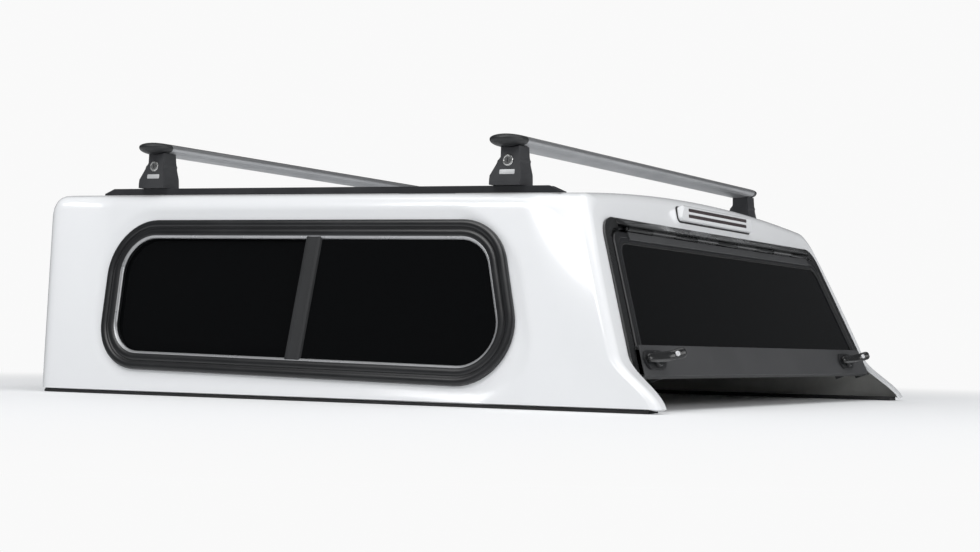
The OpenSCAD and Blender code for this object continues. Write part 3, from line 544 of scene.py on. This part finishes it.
# %% Sweep a profile round an outline
def swept(name, outline, profile, place, material, closed=True, angle=32):
    loops = [outline(inset) for inset, _ in profile]
    n, k = len(loops[0]), len(profile)
    points = [place(u, v, out) for loop, (_, out) in zip(loops, profile) for u, v in loop]
    around = n if closed else n - 1
    faces = [(i * n + j, i * n + (j + 1) % n, (i + 1) % k * n + (j + 1) % n, (i + 1) % k * n + j)
             for i in range(k) for j in range(around)]
    if not closed:
        faces += [tuple(i * n for i in range(k)), tuple(i * n + n - 1 for i in range(k - 1, -1, -1))]
    piece = new_piece(name, points, faces, material, angle)
    face_out(piece.data)
    crisp(piece.data, angle)
    return piece

# %% Join pieces that make one part
def merged(piece, *others):
    """Adds the meshes of other pieces, with their materials, to a piece."""
    bm = bmesh.new()
    bm.from_mesh(piece.data)
    for other in others:
        first, mesh = len(piece.data.materials), other.data
        for material in mesh.materials:
            piece.data.materials.append(material)
        for face in mesh.polygons:
            face.material_index += first
        bm.from_mesh(mesh)
        bpy.data.objects.remove(other)
    bm.to_mesh(piece.data)
    bm.free()
    return piece

# %% The side and front window frames
flange = [(0.6, -7), (0, -4), (0, 1.5), (0.8, 3.6), (3, 5), (8, 5.6), (12.5, 5), (14.6, 3.6), (15.4, 1.2),
          (18, 0.4), (19, 1.6), (21.5, 3.0), (27, 3.0), (31, 2.0), (34.5, 0.2), (37, -2.6), (37, -8),
          (18.6, -8), (18.6, -21.6), (11, -21.6), (11, -7)]
# The thin light metal line along the frame's inner edge is a painted highlight.
highlight_line_profile = [(33.4, 0.2), (33.2, 1.3), (34.2, 1.7), (36.2, 0.9), (38.2, -1.2), (38.8, -2.9), (36.4, -3.0)]
divider = [(2, -3), (3.4, 1.0), (5.6, 2.2), (10, 2.4), (11, 1.7), (31, 1.7), (32, 2.4), (36.4, 2.2),
           (38.6, 1.0), (40, -3)]
for side, place in (("left", in_side), ("right", on_right(in_side))):
    ring = swept(f"{side}_window_trim", window_outline, flange, place, frame_black)
    line = swept("line", window_outline, highlight_line_profile, place, highlight_trim)
    bar = swept(f"{side}_divider", lambda inset: [(inset, -125 + 25 * i) for i in range(11)], divider, place,
                divider_grey, closed=False)
    dress(merged(ring, line, bar), "shell", "frame", f"{side}_window_frame")
front_flange = [(0.6, -1), (0, 0.6), (0, 3), (1.2, 4.6), (4, 5), (14, 5), (16, 3.6), (18, 1.8), (22, 2.2),
                (31, 2.0), (35, -0.5), (36, -3), (36, -3.4), (18.6, -3.4), (18.6, -21.6), (11, -21.6), (11, -1)]
dress(swept("front_window_trim", front_outline, front_flange, in_front, frame_black),
      "shell", "frame", "front_window_frame")

# %% [markdown]
# ### The base seal
# The canopy sits on the bed's rails on a strip of sponge rubber with a soft outer lip. One strip runs
# round the front and along both sides, so it is swept along a path in the shape of a U.

# %% The seal under the flange
def seal_path(inset):
    x, y, r = half_w - 3 - inset, front_y - 3 - inset, 44.0 - inset
    end = front_y - 3 - (base_l - toe_l / 2)
    corner = lambda side: [(side * (x - r + r * math.cos(w)), y - r + r * math.sin(w))
                           for w in [math.pi / 2 * i / 12 for i in range(13)]]
    return [(x, end)] + corner(1) + corner(-1)[::-1] + [(-x, end)]


lip_profile = [(0, 0.1), (0, 2.4), (1.2, 5.4), (3.2, 7.2), (6, 8), (43.5, 8), (43.5, 0.6), (24, 0.6),
               (23, 1.8), (21, 1.8), (20, 0.6), (8, 0.6), (6, 1.6), (4, 0.4), (2, 0)]
dress(swept("seal_strip", seal_path, lip_profile, lambda x, y, z: (x, y, z), rubber, closed=False),
      "shell", "seal", "left_base_seal", "right_base_seal", "front_base_seal")

# %% [markdown]
# ## Rounded copies
# No stamped, moulded or cast piece has knife edges, and a thin line of light along each edge is what
# makes it look real. These pieces copy their solid's mesh, drop the edges inside flat faces, and bevel
# the sharp ones. The door's rail and surround, the handles' plates, the tracks, the latches, the brake
# light and, further down, the rack's feet are made this way.

# %% A rounded copy of a node
def rounded(name, node, material, width, segments=2, angle=38, shape=None):
    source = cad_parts[node]
    mesh = source.data.copy()
    mesh.transform(source.matrix_world)
    mesh.materials.clear()
    mesh.materials.append(material)
    piece = bpy.data.objects.new(name, mesh)
    bpy.context.scene.collection.objects.link(piece)
    bm = bmesh.new()
    bm.from_mesh(mesh)
    bmesh.ops.remove_doubles(bm, verts=bm.verts, dist=0.02 * MM)
    bmesh.ops.dissolve_limit(bm, angle_limit=math.radians(0.7), verts=bm.verts, edges=bm.edges)
    if shape:
        shape(bm)
    for face in bm.faces:
        face.material_index = 0
        face.smooth = True
    bm.to_mesh(mesh)
    bm.free()
    modifier(piece, "BEVEL", width=width * MM, segments=segments, limit_method="ANGLE",
             angle_limit=math.radians(angle), use_clamp_overlap=True)
    modifier(piece, "WEIGHTED_NORMAL", keep_sharp=True, weight=80)
    return baked(piece)


for name, node, material, width, body, slot in (
        ("door_rail", "door_bottom_rail", rail_grey, 1.0, "rear_door", "rail"),
        ("left_handle_plate", "left_handle_base", moulded, 1.2, "rear_door", "black_plastic"),
        ("right_handle_plate", "right_handle_base", moulded, 1.2, "rear_door", "black_plastic"),
        ("left_track", "left_roof_track", track_black, 1.4, "shell", "frame"),
        ("right_track", "right_roof_track", track_black, 1.4, "shell", "frame"),
        ("latch_blocks", "window_latches", moulded, 1.2, "shell", "black_plastic"),
        ("light_hood", "brake_light_housing", gelcoat, 1.6, "shell", "shell"),
        ("light_lens", "brake_light_lens", smoked_lens, 0.7, "shell", "lens")):
    dress(rounded(name, node, material, width), body, slot, node)


def ease_hood(bm):
    """The hood over the hinge runs out on to the flange at both ends."""
    for x in (-492, 492):
        bmesh.ops.bisect_plane(bm, geom=bm.verts[:] + bm.edges[:] + bm.faces[:], dist=1e-6,
                               plane_co=(x * MM, 0, 0), plane_no=(1, 0, 0))
    for vert in bm.verts:
        x, y, z = (c / MM for c in vert.co)
        up = (y - rear_y) * math.sin(rear_lean) + z * math.cos(rear_lean)
        out = z * math.sin(rear_lean) - (y - rear_y) * math.cos(rear_lean)
        if 500 < abs(x) < 520 and up > 352 and out > 5.2:
            vert.co = Vector(in_rear(x, mix(up, 379, 0.45), mix(out, 4.4, 0.8))) * MM


dress(rounded("surround_trim", "door_surround", gloss_black, 1.0, shape=ease_hood), "shell", "frame",
      "door_surround")

# %% [markdown]
# ## Door handles
# Each handle is a lever on a spindle: a flat tail lies along the plate and the free end bends away from
# the glass, so that fingers fit behind it. The lever is a loft: a soft oval section that moves along a
# curved spine. The spindle and its shoulder are turned round the axis, and the cam is a flat bar.

# %% Lofts and turned shapes
def soft(c, power=0.8):
    return math.copysign(abs(c) ** power, c)


def quads(rings, n):
    faces = [(i * n + j, i * n + (j + 1) % n, (i + 1) * n + (j + 1) % n, (i + 1) * n + j)
             for i in range(rings - 1) for j in range(n)]
    return faces + [tuple(range(n - 1, -1, -1)), tuple(range((rings - 1) * n, rings * n))]


def outward(piece, angle=32):
    face_out(piece.data, 0.01 * MM)
    crisp(piece.data, angle)
    return piece


def lofted(name, place, spine, material, n=20):
    """A soft section along a spine of (across, out, half width, half thickness)."""
    points = []
    for i, (a, c, wide, thick) in enumerate(spine):
        before, after = spine[max(i - 1, 0)], spine[min(i + 1, len(spine) - 1)]
        ta, tc = after[0] - before[0], after[1] - before[1]
        k = math.hypot(ta, tc)
        for j in range(n):
            w = 2 * math.pi * j / n
            o = thick * soft(math.sin(w))
            points.append(place(a - tc / k * o, wide * soft(math.cos(w)), c + ta / k * o))
    return outward(new_piece(name, points, quads(len(spine), n), material), 50)


def turned(name, place, profile, material, n=28):
    """A profile of (radius, out) turned round the middle of a place."""
    points = [place(r * math.cos(2 * math.pi * j / n), r * math.sin(2 * math.pi * j / n), c)
              for r, c in profile for j in range(n)]
    return outward(new_piece(name, points, quads(len(profile), n), material), 40)


def slab(name, place, outline, low, high, edge, material):
    """A flat bar with small chamfers on both faces: rings of an outline at four levels."""
    middle = [sum(c) / len(outline) for c in zip(*outline)]
    def shrunk(k):
        return [(middle[0] + (u - middle[0]) * k, middle[1] + (v - middle[1]) * k) for u, v in outline]
    size = max(abs(v - middle[1]) for _, v in outline)
    k = 1 - edge / size
    points = [place(u, v, c) for ring, c in ((shrunk(k), low), (outline, low + edge), (outline, high - edge),
                                             (shrunk(k), high)) for u, v in ring]
    return outward(new_piece(name, points, quads(4, len(outline)), material), 32)


def box_outline(w, h, r, n=5):
    return round_outline([(-w / 2, -h / 2), (w / 2, -h / 2), (w / 2, h / 2), (-w / 2, h / 2)], [r] * 4, n)

# %% The two levers
rail_mid, rail_front, handle_shift, handle_half = 93.5, 12.0, 42.0, 532.0
lever_spine = [(-49, 12.6, 2.5, 1.4), (-48, 12.9, 5.8, 3.2), (-45, 13.5, 7.8, 4.5), (-30, 14.8, 8.8, 5.4),
               (-12, 16.2, 9.6, 6.2), (6, 18.2, 9.8, 6.4), (20, 22.2, 9.4, 6.0), (31, 28.6, 9.2, 5.7),
               (38, 35.6, 9.8, 5.7), (42, 41.4, 9.6, 5.3), (43.8, 45.0, 8.0, 4.0), (44.6, 47.2, 4.6, 2.0)]
spindle_profile = [(0, -9.4), (6, -9.4), (6, 5.4), (14, 5.4), (15, 6.4), (15, 11), (13.6, 12.2), (0, 12.3)]
for side, sign in (("left", -1), ("right", 1)):
    spindle_x = sign * handle_half - handle_shift
    on_handle = lambda a, b, c: in_rear(spindle_x + a, rail_mid + b, rail_front + c)
    lever = lofted(f"{side}_lever", on_handle, lever_spine, gloss_black)
    spindle = turned("spindle", on_handle, spindle_profile, moulded)
    cam = slab("cam", on_handle, box_outline(40, 14, 3), -9.5, -5.5, 0.6, bright_steel)
    # The light metal button at the lever's free end is a painted highlight: a pale disc where the end of the lever
    # catches the light.
    highlight_button = turned("highlight_button", lambda a, b, c: on_handle(34 + a * 0.8 - c * 0.6, b, 31.5 + a * 0.6 + c * 0.8),
                    [(5.2, 3.4), (5.2, 6.4), (4.6, 7.0), (0, 7.0)], bar_alloy, 20)
    dress(merged(lever, spindle, cam, highlight_button), f"{side}_handle", "black_plastic", f"{side}_handle_lever")

# %% [markdown]
# ## The door's frame and hinge
# The glass door has a pressed frame on three sides, whose inner corners are rounder than its outer
# ones, and a piano hinge along its top. The frame is swept round the doorway's outline; the hinge's
# leaf is one long strip, and its knuckles alternate with those of the surround.

# %% Door frame, leaf and knuckles
door_side, door_over, frame_w = 27.0, 30.0, 21.0
hinge_up, hinge_out, hinge_l, knuckle_r = 358.0, 11.0, 978.0, 5.0


def door_edge(inset):
    r = mix(door_r - door_side, 34.0, inset / frame_w)
    outline = doorway(door_side + inset, door_over + inset, 123.0, r)
    return outline[1:] + outline[:1]


def along_x(name, x0, x1, profile, material, angle=32):
    """A profile of (up, out) in the rear wall's frame, drawn from one x to another."""
    points = [in_rear(x, up, out) for x in (x0, x1) for up, out in profile]
    return outward(new_piece(name, points, quads(2, len(profile)), material), angle)


pressed = [(0, -8), (0, 6.4), (0.5, 7.5), (1.6, 8), (11, 8), (12, 7.3), (13, 8), (18.4, 8), (20.2, 7.2),
           (21, 5.6), (21, 4.15), (2.5, 4.15), (2.5, -8)]
lip = [(21, 4.2), (21, 6.0), (22, 6.6), (23.4, 6.0), (24, 4.2)]
edge = swept("door_edge", door_edge, pressed, in_rear, frame_black, closed=False)
bead = swept("glass_bead", door_edge, lip, in_rear, rubber, closed=False)
leaf_profile = [(335.5, 8.1), (335.5, 9.8), (336.2, 10.5), (350.4, 10.5), (351.2, 9.8), (351.2, 8.1)]
leaf = along_x("leaf", -hinge_l / 2, hinge_l / 2, leaf_profile, rail_grey)
knuckles, pitch_l = [], hinge_l / 9
for i in range(1, 9, 2):
    x0, x1 = (i * pitch_l - hinge_l / 2 + 0.3), ((i + 1) * pitch_l - hinge_l / 2 - 0.3)
    barrel = [(hinge_up + knuckle_r * math.sin(w), hinge_out + knuckle_r * math.cos(w))
              for w in [math.pi * (0.75 - 1.5 * j / 18) - math.pi / 4 for j in range(19)]]
    strap = [(351.0, 8.1), (351.0, 10.6), (353.2, 10.6)]
    knuckles.append(along_x("knuckle", x0, x1, barrel + strap, gloss_black, 45))
dress(merged(edge, bead, leaf, *knuckles), "rear_door", "frame", "door_frame")

# %% [markdown]
# ## Crossbars
# A crossbar is a long wing of drawn aluminium with a strip of rubber let into its top, closed at both
# ends by plastic noses. The dark rubber is drawn much wider than the real strip: the extra width is
# painted shade on the bar's top. One section is repeated along the bar; in the noses it shrinks to a round end.

# %% Places on the rack
track_x, pitch, fit = 578.0, math.radians(1.3), 0.3
bar_chord, bar_t, bar_half, cap_l = 76.0, 30.0, 624.0, 46.0
track_h, foot_h = 13.0, 68.0
bars = {"front": 494.0, "rear": -370.0}
rack_z = roof_z(track_x, 0) + fit
bar_middle = track_h + foot_h + bar_t / 2 + 4.0
# The dark strip is drawn wider than the real rubber strip; the extra width is painted shade on the bar's top.
rubber_and_shade_half, strip_z = 30.0, 96.0


def on_rack(x, y, z):
    """Across, along the tracks, and up from the roof under the tracks."""
    return (x, y * math.cos(pitch) - z * math.sin(pitch), rack_z + y * math.sin(pitch) + z * math.cos(pitch))


def half_thick(w):
    """The wing's thickness is flatter above its widest line than below it."""
    return bar_t / 2 * soft(math.sin(w), 0.92) * (0.72 if math.sin(w) > 0 else 1.0)


def wing(steps=96):
    """The wing's section as (along, up) with grooves beside the widened rubber strip, whose extra width is painted
    shade, and in the flanks.
    """
    out = []
    for i in range(steps):
        w = 2 * math.pi * i / steps
        s, t = bar_chord / 2 * math.cos(w), half_thick(w)
        if abs(abs(s) - rubber_and_shade_half) < 1.2:
            t -= math.copysign(0.8, t)
        elif t > 0 and abs(s) < 28:
            t -= 0.4 * (round(abs(s)) % 4 == 0)
        out.append((s, t))
    return out

# %% Bars and noses
section = wing()
for end, bar_y in bars.items():
    stops = [mix(-578, 578, i / 16) for i in range(17)]
    points = [on_rack(x, bar_y + s, bar_middle + t) for x in stops for s, t in section]
    bar = new_piece(f"{end}_wing", points, quads(len(stops), len(section)), bar_alloy)
    bar.data.materials.append(rubber)
    outward(bar, 40)
    for face in bar.data.polygons:
        middle = sum((bar.data.vertices[v].co for v in face.vertices), Vector()) / len(face.vertices)
        along = middle.y / MM - on_rack(0, bar_y, strip_z)[1]
        # Top faces within the strip take the dark rubber: the real strip, and painted shade beside it.
        if abs(along) < rubber_and_shade_half and face.normal.z > 0.3:
            face.material_index = 1
    dress(bar, f"{end}_rack", "bar", f"{end}_crossbar")
    noses = []
    for sign in (-1, 1):
        points, rings = [], 14
        for i in range(rings):
            u = math.sin(math.pi / 2 * i / (rings - 1)) * 0.9995
            chord, thick = math.sqrt(1 - u ** 2.4), math.sqrt(1 - u ** 3.4)
            for j, (s, t) in enumerate(section):
                t = mix(t, half_thick(2 * math.pi * j / len(section)), min(1, u * 6))
                points.append(on_rack(sign * (bar_half - cap_l + u * cap_l), bar_y + s * chord,
                                      bar_middle + t * thick))
        noses.append(outward(new_piece(f"{end}_noses", points, quads(rings, len(section)), moulded), 40))
    dress(merged(*noses), f"{end}_rack", "black_plastic", f"{end}_bar_caps")

# %% [markdown]
# ### Feet and locks
# A foot's cover leans: its rear edge is nearly upright and its front edge slopes back to the bar. The
# rounded copies of the feet are eased into that outline. A barrel lock closes each cover; it is turned,
# with a dished face and a dark key slot, and under it lies a bare plate.

# %% Ease the feet
def between(h, table):
    for (h0, s0), (h1, s1) in zip(table, table[1:]):
        if h <= h1:
            return mix(s0, s1, max(0.0, h - h0) / (h1 - h0))
    return table[-1][1]


old_front = [(0, 40), (16, 40), (46.2, 19.2), (68, 25.6)]
old_rear = [(0, -40), (22, -40), (30, -32), (47.6, -20), (68, -25.6)]
new_front = [(0, 31), (18, 31), (44, 16), (60, 7), (68, 12)]
new_rear = [(0, -36), (22, -36), (42, -31.5), (62, -29), (68, -29)]
bar_lift, lock_shift, lock_lift = 4.0, -6.6, 9.0


def ease_foot(bar_y):
    """A hook for rounded: moves a foot's outline to the leaning one, and the lock's hole with it."""
    def shape(bm):
        for vert in bm.verts:
            x, y, z = (c / MM for c in vert.co)
            up = z - rack_z
            along = y * math.cos(pitch) + up * math.sin(pitch) - bar_y
            h = up * math.cos(pitch) - y * math.sin(pitch) - track_h
            if h < 0.2:
                continue
            if math.hypot(along, h - 38) < 9.8:
                if abs(x) > track_x + 15:
                    x -= math.copysign(0.12 * lock_lift, x)
                along, h = along + lock_shift, h + lock_lift
            else:
                a, b = between(h, old_rear), between(h, old_front)
                along = mix(between(h, new_rear), between(h, new_front), (along - a) / (b - a))
                h += bar_lift * smooth((h - 50) / 16)
            vert.co = Vector(on_rack(x, bar_y + along, track_h + h)) * MM
    return shape


for end, bar_y in bars.items():
    dress(rounded(f"{end}_feet", f"{end}_rack_feet", foot_black, 1.6, shape=ease_foot(bar_y)), f"{end}_rack",
          "foot", f"{end}_rack_feet")

# %% Foot locks
for end, bar_y in bars.items():
    locks = []
    for sign in (-1, 1):
        at_lock = lambda a, b, c: on_rack(sign * (track_x + 12.6 + c), bar_y + lock_shift + a,
                                          track_h + 38 + lock_lift + b)
        locks.append(turned(f"{end}_locks", at_lock, [(8.8, 0), (8.8, 9.2), (11.2, 9.4), (11.4, 10.6), (10.4, 11.8),
                                                      (8.2, 12.2), (7.4, 11.4), (0, 11.4)], bright_steel))
        locks.append(slab("slot", at_lock, box_outline(1.8, 8.0, 0.8, 3), 11.2, 11.8, 0.1, moulded))
        locks.append(slab("plate", lambda a, b, c: on_rack(sign * (track_x + 23.4 + c - b * 0.12),
                                                              bar_y + lock_shift + a, track_h + 25 + b),
                          box_outline(33, 9, 2, 4), 0, 1.2, 0.3, label_plate))
    dress(merged(*locks), f"{end}_rack", "steel", f"{end}_foot_locks")

# %% [markdown]
# ### Gasket of the brake light
# A thin black gasket shows all round the foot of the brake light's housing.

# %% Gasket
def light_outline(inset):
    a, low, high = 196.0 - inset, 400.0 + inset, 432.0 - inset
    return round_outline([(-a, low), (a, low), (a - 15, high), (15 - a, high)],
                         [6 - inset, 6 - inset, 10 - inset, 10 - inset], 6)


gasket_profile = [(-2.6, 0.05), (-2.6, 1.4), (-1.8, 2.2), (-0.4, 2.2), (1.5, 1.6), (1.5, 0.05)]
dress(swept("light_gasket", light_outline, gasket_profile, in_rear, rubber), "shell", "frame")

# %% [markdown]
# ## Rows of bolts
# Low hexagon bolts with washers hold the tracks to the roof inside their slots, between the two racks'
# travels, and small ones hold the front window's clamp ring from inside. A Geometry Nodes group makes
# a row: a line of points, one bolt on each, made real and given its metal.

# %% The row group
def row_group():
    tree = bpy.data.node_groups.new("row_of_bolts", "GeometryNodeTree")
    labels = (("Start", "NodeSocketVector"), ("Step", "NodeSocketVector"), ("Count", "NodeSocketInt"),
              ("Radius", "NodeSocketFloat"), ("Height", "NodeSocketFloat"), ("Tilt", "NodeSocketVector"),
              ("Material", "NodeSocketMaterial"))
    ids = {label: tree.interface.new_socket(label, in_out="INPUT", socket_type=kind).identifier
           for label, kind in labels}
    tree.interface.new_socket("Geometry", in_out="OUTPUT", socket_type="NodeSocketGeometry")
    given, result = tree.nodes.new("NodeGroupInput"), tree.nodes.new("NodeGroupOutput")

    def maths(operation, a, b):
        return add(tree, "ShaderNodeMath", [(0, a), (1, b)], operation=operation).outputs[0]

    radius, height = given.outputs["Radius"], given.outputs["Height"]
    line = add(tree, "GeometryNodeMeshLine", [("Count", given.outputs["Count"]),
               ("Start Location", given.outputs["Start"]), ("Offset", given.outputs["Step"])], mode="OFFSET")
    washer = add(tree, "GeometryNodeMeshCylinder", [("Vertices", 24), ("Radius", maths("MULTIPLY", radius, 1.35)),
                 ("Depth", maths("MULTIPLY", height, 0.3))])
    head = add(tree, "GeometryNodeMeshCone", [("Vertices", 6), ("Radius Top", maths("MULTIPLY", radius, 0.92)),
               ("Radius Bottom", radius), ("Depth", maths("MULTIPLY", height, 0.8))])
    lift = add(tree, "ShaderNodeCombineXYZ", [("Z", maths("MULTIPLY", height, 0.12))])
    raised = add(tree, "GeometryNodeTransform", [("Geometry", head.outputs["Mesh"]),
                 ("Translation", lift.outputs[0])])
    bolt = tree.nodes.new("GeometryNodeJoinGeometry")
    tree.links.new(washer.outputs["Mesh"], bolt.inputs[0])
    tree.links.new(raised.outputs[0], bolt.inputs[0])
    turn = add(tree, "FunctionNodeEulerToRotation", [("Euler", given.outputs["Tilt"])])
    placed = add(tree, "GeometryNodeInstanceOnPoints", [("Points", line.outputs["Mesh"]),
                 ("Instance", bolt.outputs[0]), ("Rotation", turn.outputs[0])])
    real = add(tree, "GeometryNodeRealizeInstances", [("Geometry", placed.outputs[0])])
    metal = add(tree, "GeometryNodeSetMaterial", [("Geometry", real.outputs[0]),
                ("Material", given.outputs["Material"])])
    tree.links.new(metal.outputs[0], result.inputs[0])
    return tree, ids


rows, row_ids = row_group()


def bolt_row(name, start, step, count, radius, height, tilt, material):
    piece = bpy.data.objects.new(name, bpy.data.meshes.new(name))
    bpy.context.scene.collection.objects.link(piece)
    m = piece.modifiers.new("row", "NODES")
    m.node_group = rows
    for label, value in (("Start", [c * MM for c in start]), ("Step", [c * MM for c in step]), ("Count", count),
                         ("Radius", radius * MM), ("Height", height * MM), ("Tilt", tilt),
                         ("Material", material)):
        m[row_ids[label]] = value
    baked(piece)
    return outward(piece)

# %% Bolts in the tracks and round the front window
for side, sign in (("left", -1), ("right", 1)):
    first, last = on_rack(sign * track_x, 296, 4.6), on_rack(sign * track_x, -172, 4.6)
    step = [(b - a) / 4 for a, b in zip(first, last)]
    dress(bolt_row(f"{side}_track_bolts", first, step, 5, 5.2, 3.0, (pitch, 0, 0), bright_steel),
          "shell", "steel")
for name, up in (("upper", 126.5), ("lower", -126.5)):
    first, last = in_front(-450, up, -21.9), in_front(450, up, -21.9)
    step = [(b - a) / 6 for a, b in zip(first, last)]
    dress(bolt_row(f"{name}_clamp_bolts", first, step, 7, 3.2, 2.4, (math.pi / 2 - front_lean, 0, 0),
                   bright_steel), "shell", "steel")

# %% [markdown]
# ## Pieces kept from the model
# Panes, sashes, struts and the hinge pin already have their true shape, so only their finish changes.

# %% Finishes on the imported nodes
kept = {privacy_glass: ["left_fixed_glass", "left_sliding_glass", "right_fixed_glass",
                        "right_sliding_glass", "front_window_glass", "door_glass"],
        frame_black: ["left_window_sash", "right_window_sash"],
        moulded: ["left_strut_tube", "right_strut_tube"],
        bright_steel: ["left_strut_rod", "right_strut_rod", "door_hinge_pin"]}
for material, names in kept.items():
    for name in names:
        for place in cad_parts[name].material_slots:
            place.material = material
print("kept nodes:", sum(len(names) for names in kept.values()))

# %% [markdown]
# ## Stage, light and camera
# The canopy stands on a plain pale floor. Three large soft lamps and a pale sky light it as in a
# studio. The camera stands where the photographer stood and is aimed at the canopy alone.

# %% Stage and light
floor = bpy.data.objects.new("floor", bpy.data.meshes.new("floor"))
bm = bmesh.new()
bmesh.ops.create_grid(bm, x_segments=1, y_segments=1, size=14)
bm.to_mesh(floor.data)
bm.free()
bpy.context.scene.collection.objects.link(floor)
floor.data.transform(Matrix.Translation((0, 0, -0.0005)))
pale = bpy.data.materials.new("pale_floor")
pale.use_nodes = True
tree = pale.node_tree
floor_shader = tree.nodes["Principled BSDF"]
floor_shader.inputs["Base Color"].default_value = (0.86, 0.865, 0.87, 1)
floor_shader.inputs["Roughness"].default_value = 0.85
path = add(tree, "ShaderNodeLightPath")
spot = add(tree, "ShaderNodeVectorMath", [(0, add(tree, "ShaderNodeTexCoord").outputs["Object"])],
           operation="LENGTH")
away = add(tree, "ShaderNodeMapRange", [("Value", spot.outputs["Value"]), ("From Min", 1.0),
           ("From Max", 2.6)], interpolation_type="SMOOTHSTEP")
share = add(tree, "ShaderNodeMath", [(0, path.outputs["Is Camera Ray"]), (1, away.outputs["Result"])],
            operation="MULTIPLY")
glow = add(tree, "ShaderNodeEmission", [("Color", (1, 1, 1, 1)), ("Strength", 0.95)])
faded = add(tree, "ShaderNodeMixShader", [(0, share.outputs[0]), (1, floor_shader.outputs[0]),
            (2, glow.outputs[0])])
tree.links.new(faded.outputs[0], tree.nodes["Material Output"].inputs["Surface"])
floor.data.materials.append(pale)
floor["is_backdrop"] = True

world = bpy.data.worlds.new("studio")
bpy.context.scene.world = world
world.use_nodes = True
tree = world.node_tree
tree.nodes.clear()
path = add(tree, "ShaderNodeLightPath")
level = add(tree, "ShaderNodeMapRange", [("Value", path.outputs["Is Glossy Ray"]), ("To Min", 0.47),
            ("To Max", 0.10)])
sky = add(tree, "ShaderNodeBackground", [("Color", (0.95, 0.97, 1, 1)), ("Strength", level.outputs["Result"])])
back = add(tree, "ShaderNodeBackground", [("Color", (1, 1, 1, 1)), ("Strength", 0.95)])
both = add(tree, "ShaderNodeMixShader", [(0, path.outputs["Is Camera Ray"]), (1, sky.outputs[0]),
           (2, back.outputs[0])])
add(tree, "ShaderNodeOutputWorld", [("Surface", both.outputs[0])])


def lamp(name, place, aim, size, power):
    light = bpy.data.lights.new(name, "AREA")
    light.shape, light.size, light.size_y, light.energy = "RECTANGLE", size[0], size[1], power
    holder = bpy.data.objects.new(name, light)
    holder.location = place
    holder.rotation_euler = (Vector(aim) - Vector(place)).to_track_quat("-Z", "Y").to_euler()
    bpy.context.scene.collection.objects.link(holder)


lamp("overhead", (-0.6, -0.4, 3.6), (0, 0, 0.3), (4.5, 3.5), 66)
lamp("key", (-3.6, 0.9, 3.3), (0, 0, 0.25), (3.0, 1.2), 58)
lamp("rear_fill", (-0.8, -4.3, 1.5), (0, 0, 0.25), (4.6, 1.2), 60)

# %% Camera at the photographer's place
scene = bpy.context.scene
scene.view_settings.view_transform = "Standard"
camera_place = Vector((-3.4465, -1.9862, 0.109))
heading, tilt, roll_angle, lens = math.radians(60.013), math.radians(-2.35), math.radians(-1.052), 64.1
forward = Vector((math.sin(heading) * math.cos(tilt), math.cos(heading) * math.cos(tilt), -math.sin(tilt)))
right = Vector((math.cos(heading), -math.sin(heading), 0))
down = forward.cross(right)
right, down = (right * math.cos(roll_angle) + down * math.sin(roll_angle),
               down * math.cos(roll_angle) - right * math.sin(roll_angle))
camera = bpy.data.objects.new("camera", bpy.data.cameras.new("camera"))
scene.collection.objects.link(camera)
camera.matrix_world = Matrix.Translation(camera_place) @ Matrix((right, -down, -forward)).transposed().to_4x4()
camera.data.lens = lens
scene.camera = camera
print("camera at", [round(c, 3) for c in camera_place], "lens", lens)

# %% Keep the CAD box and the visual box
sizes = {"cad_box": cad_box, "visual_box": [list(corner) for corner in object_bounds()]}
print("sizes", sizes)
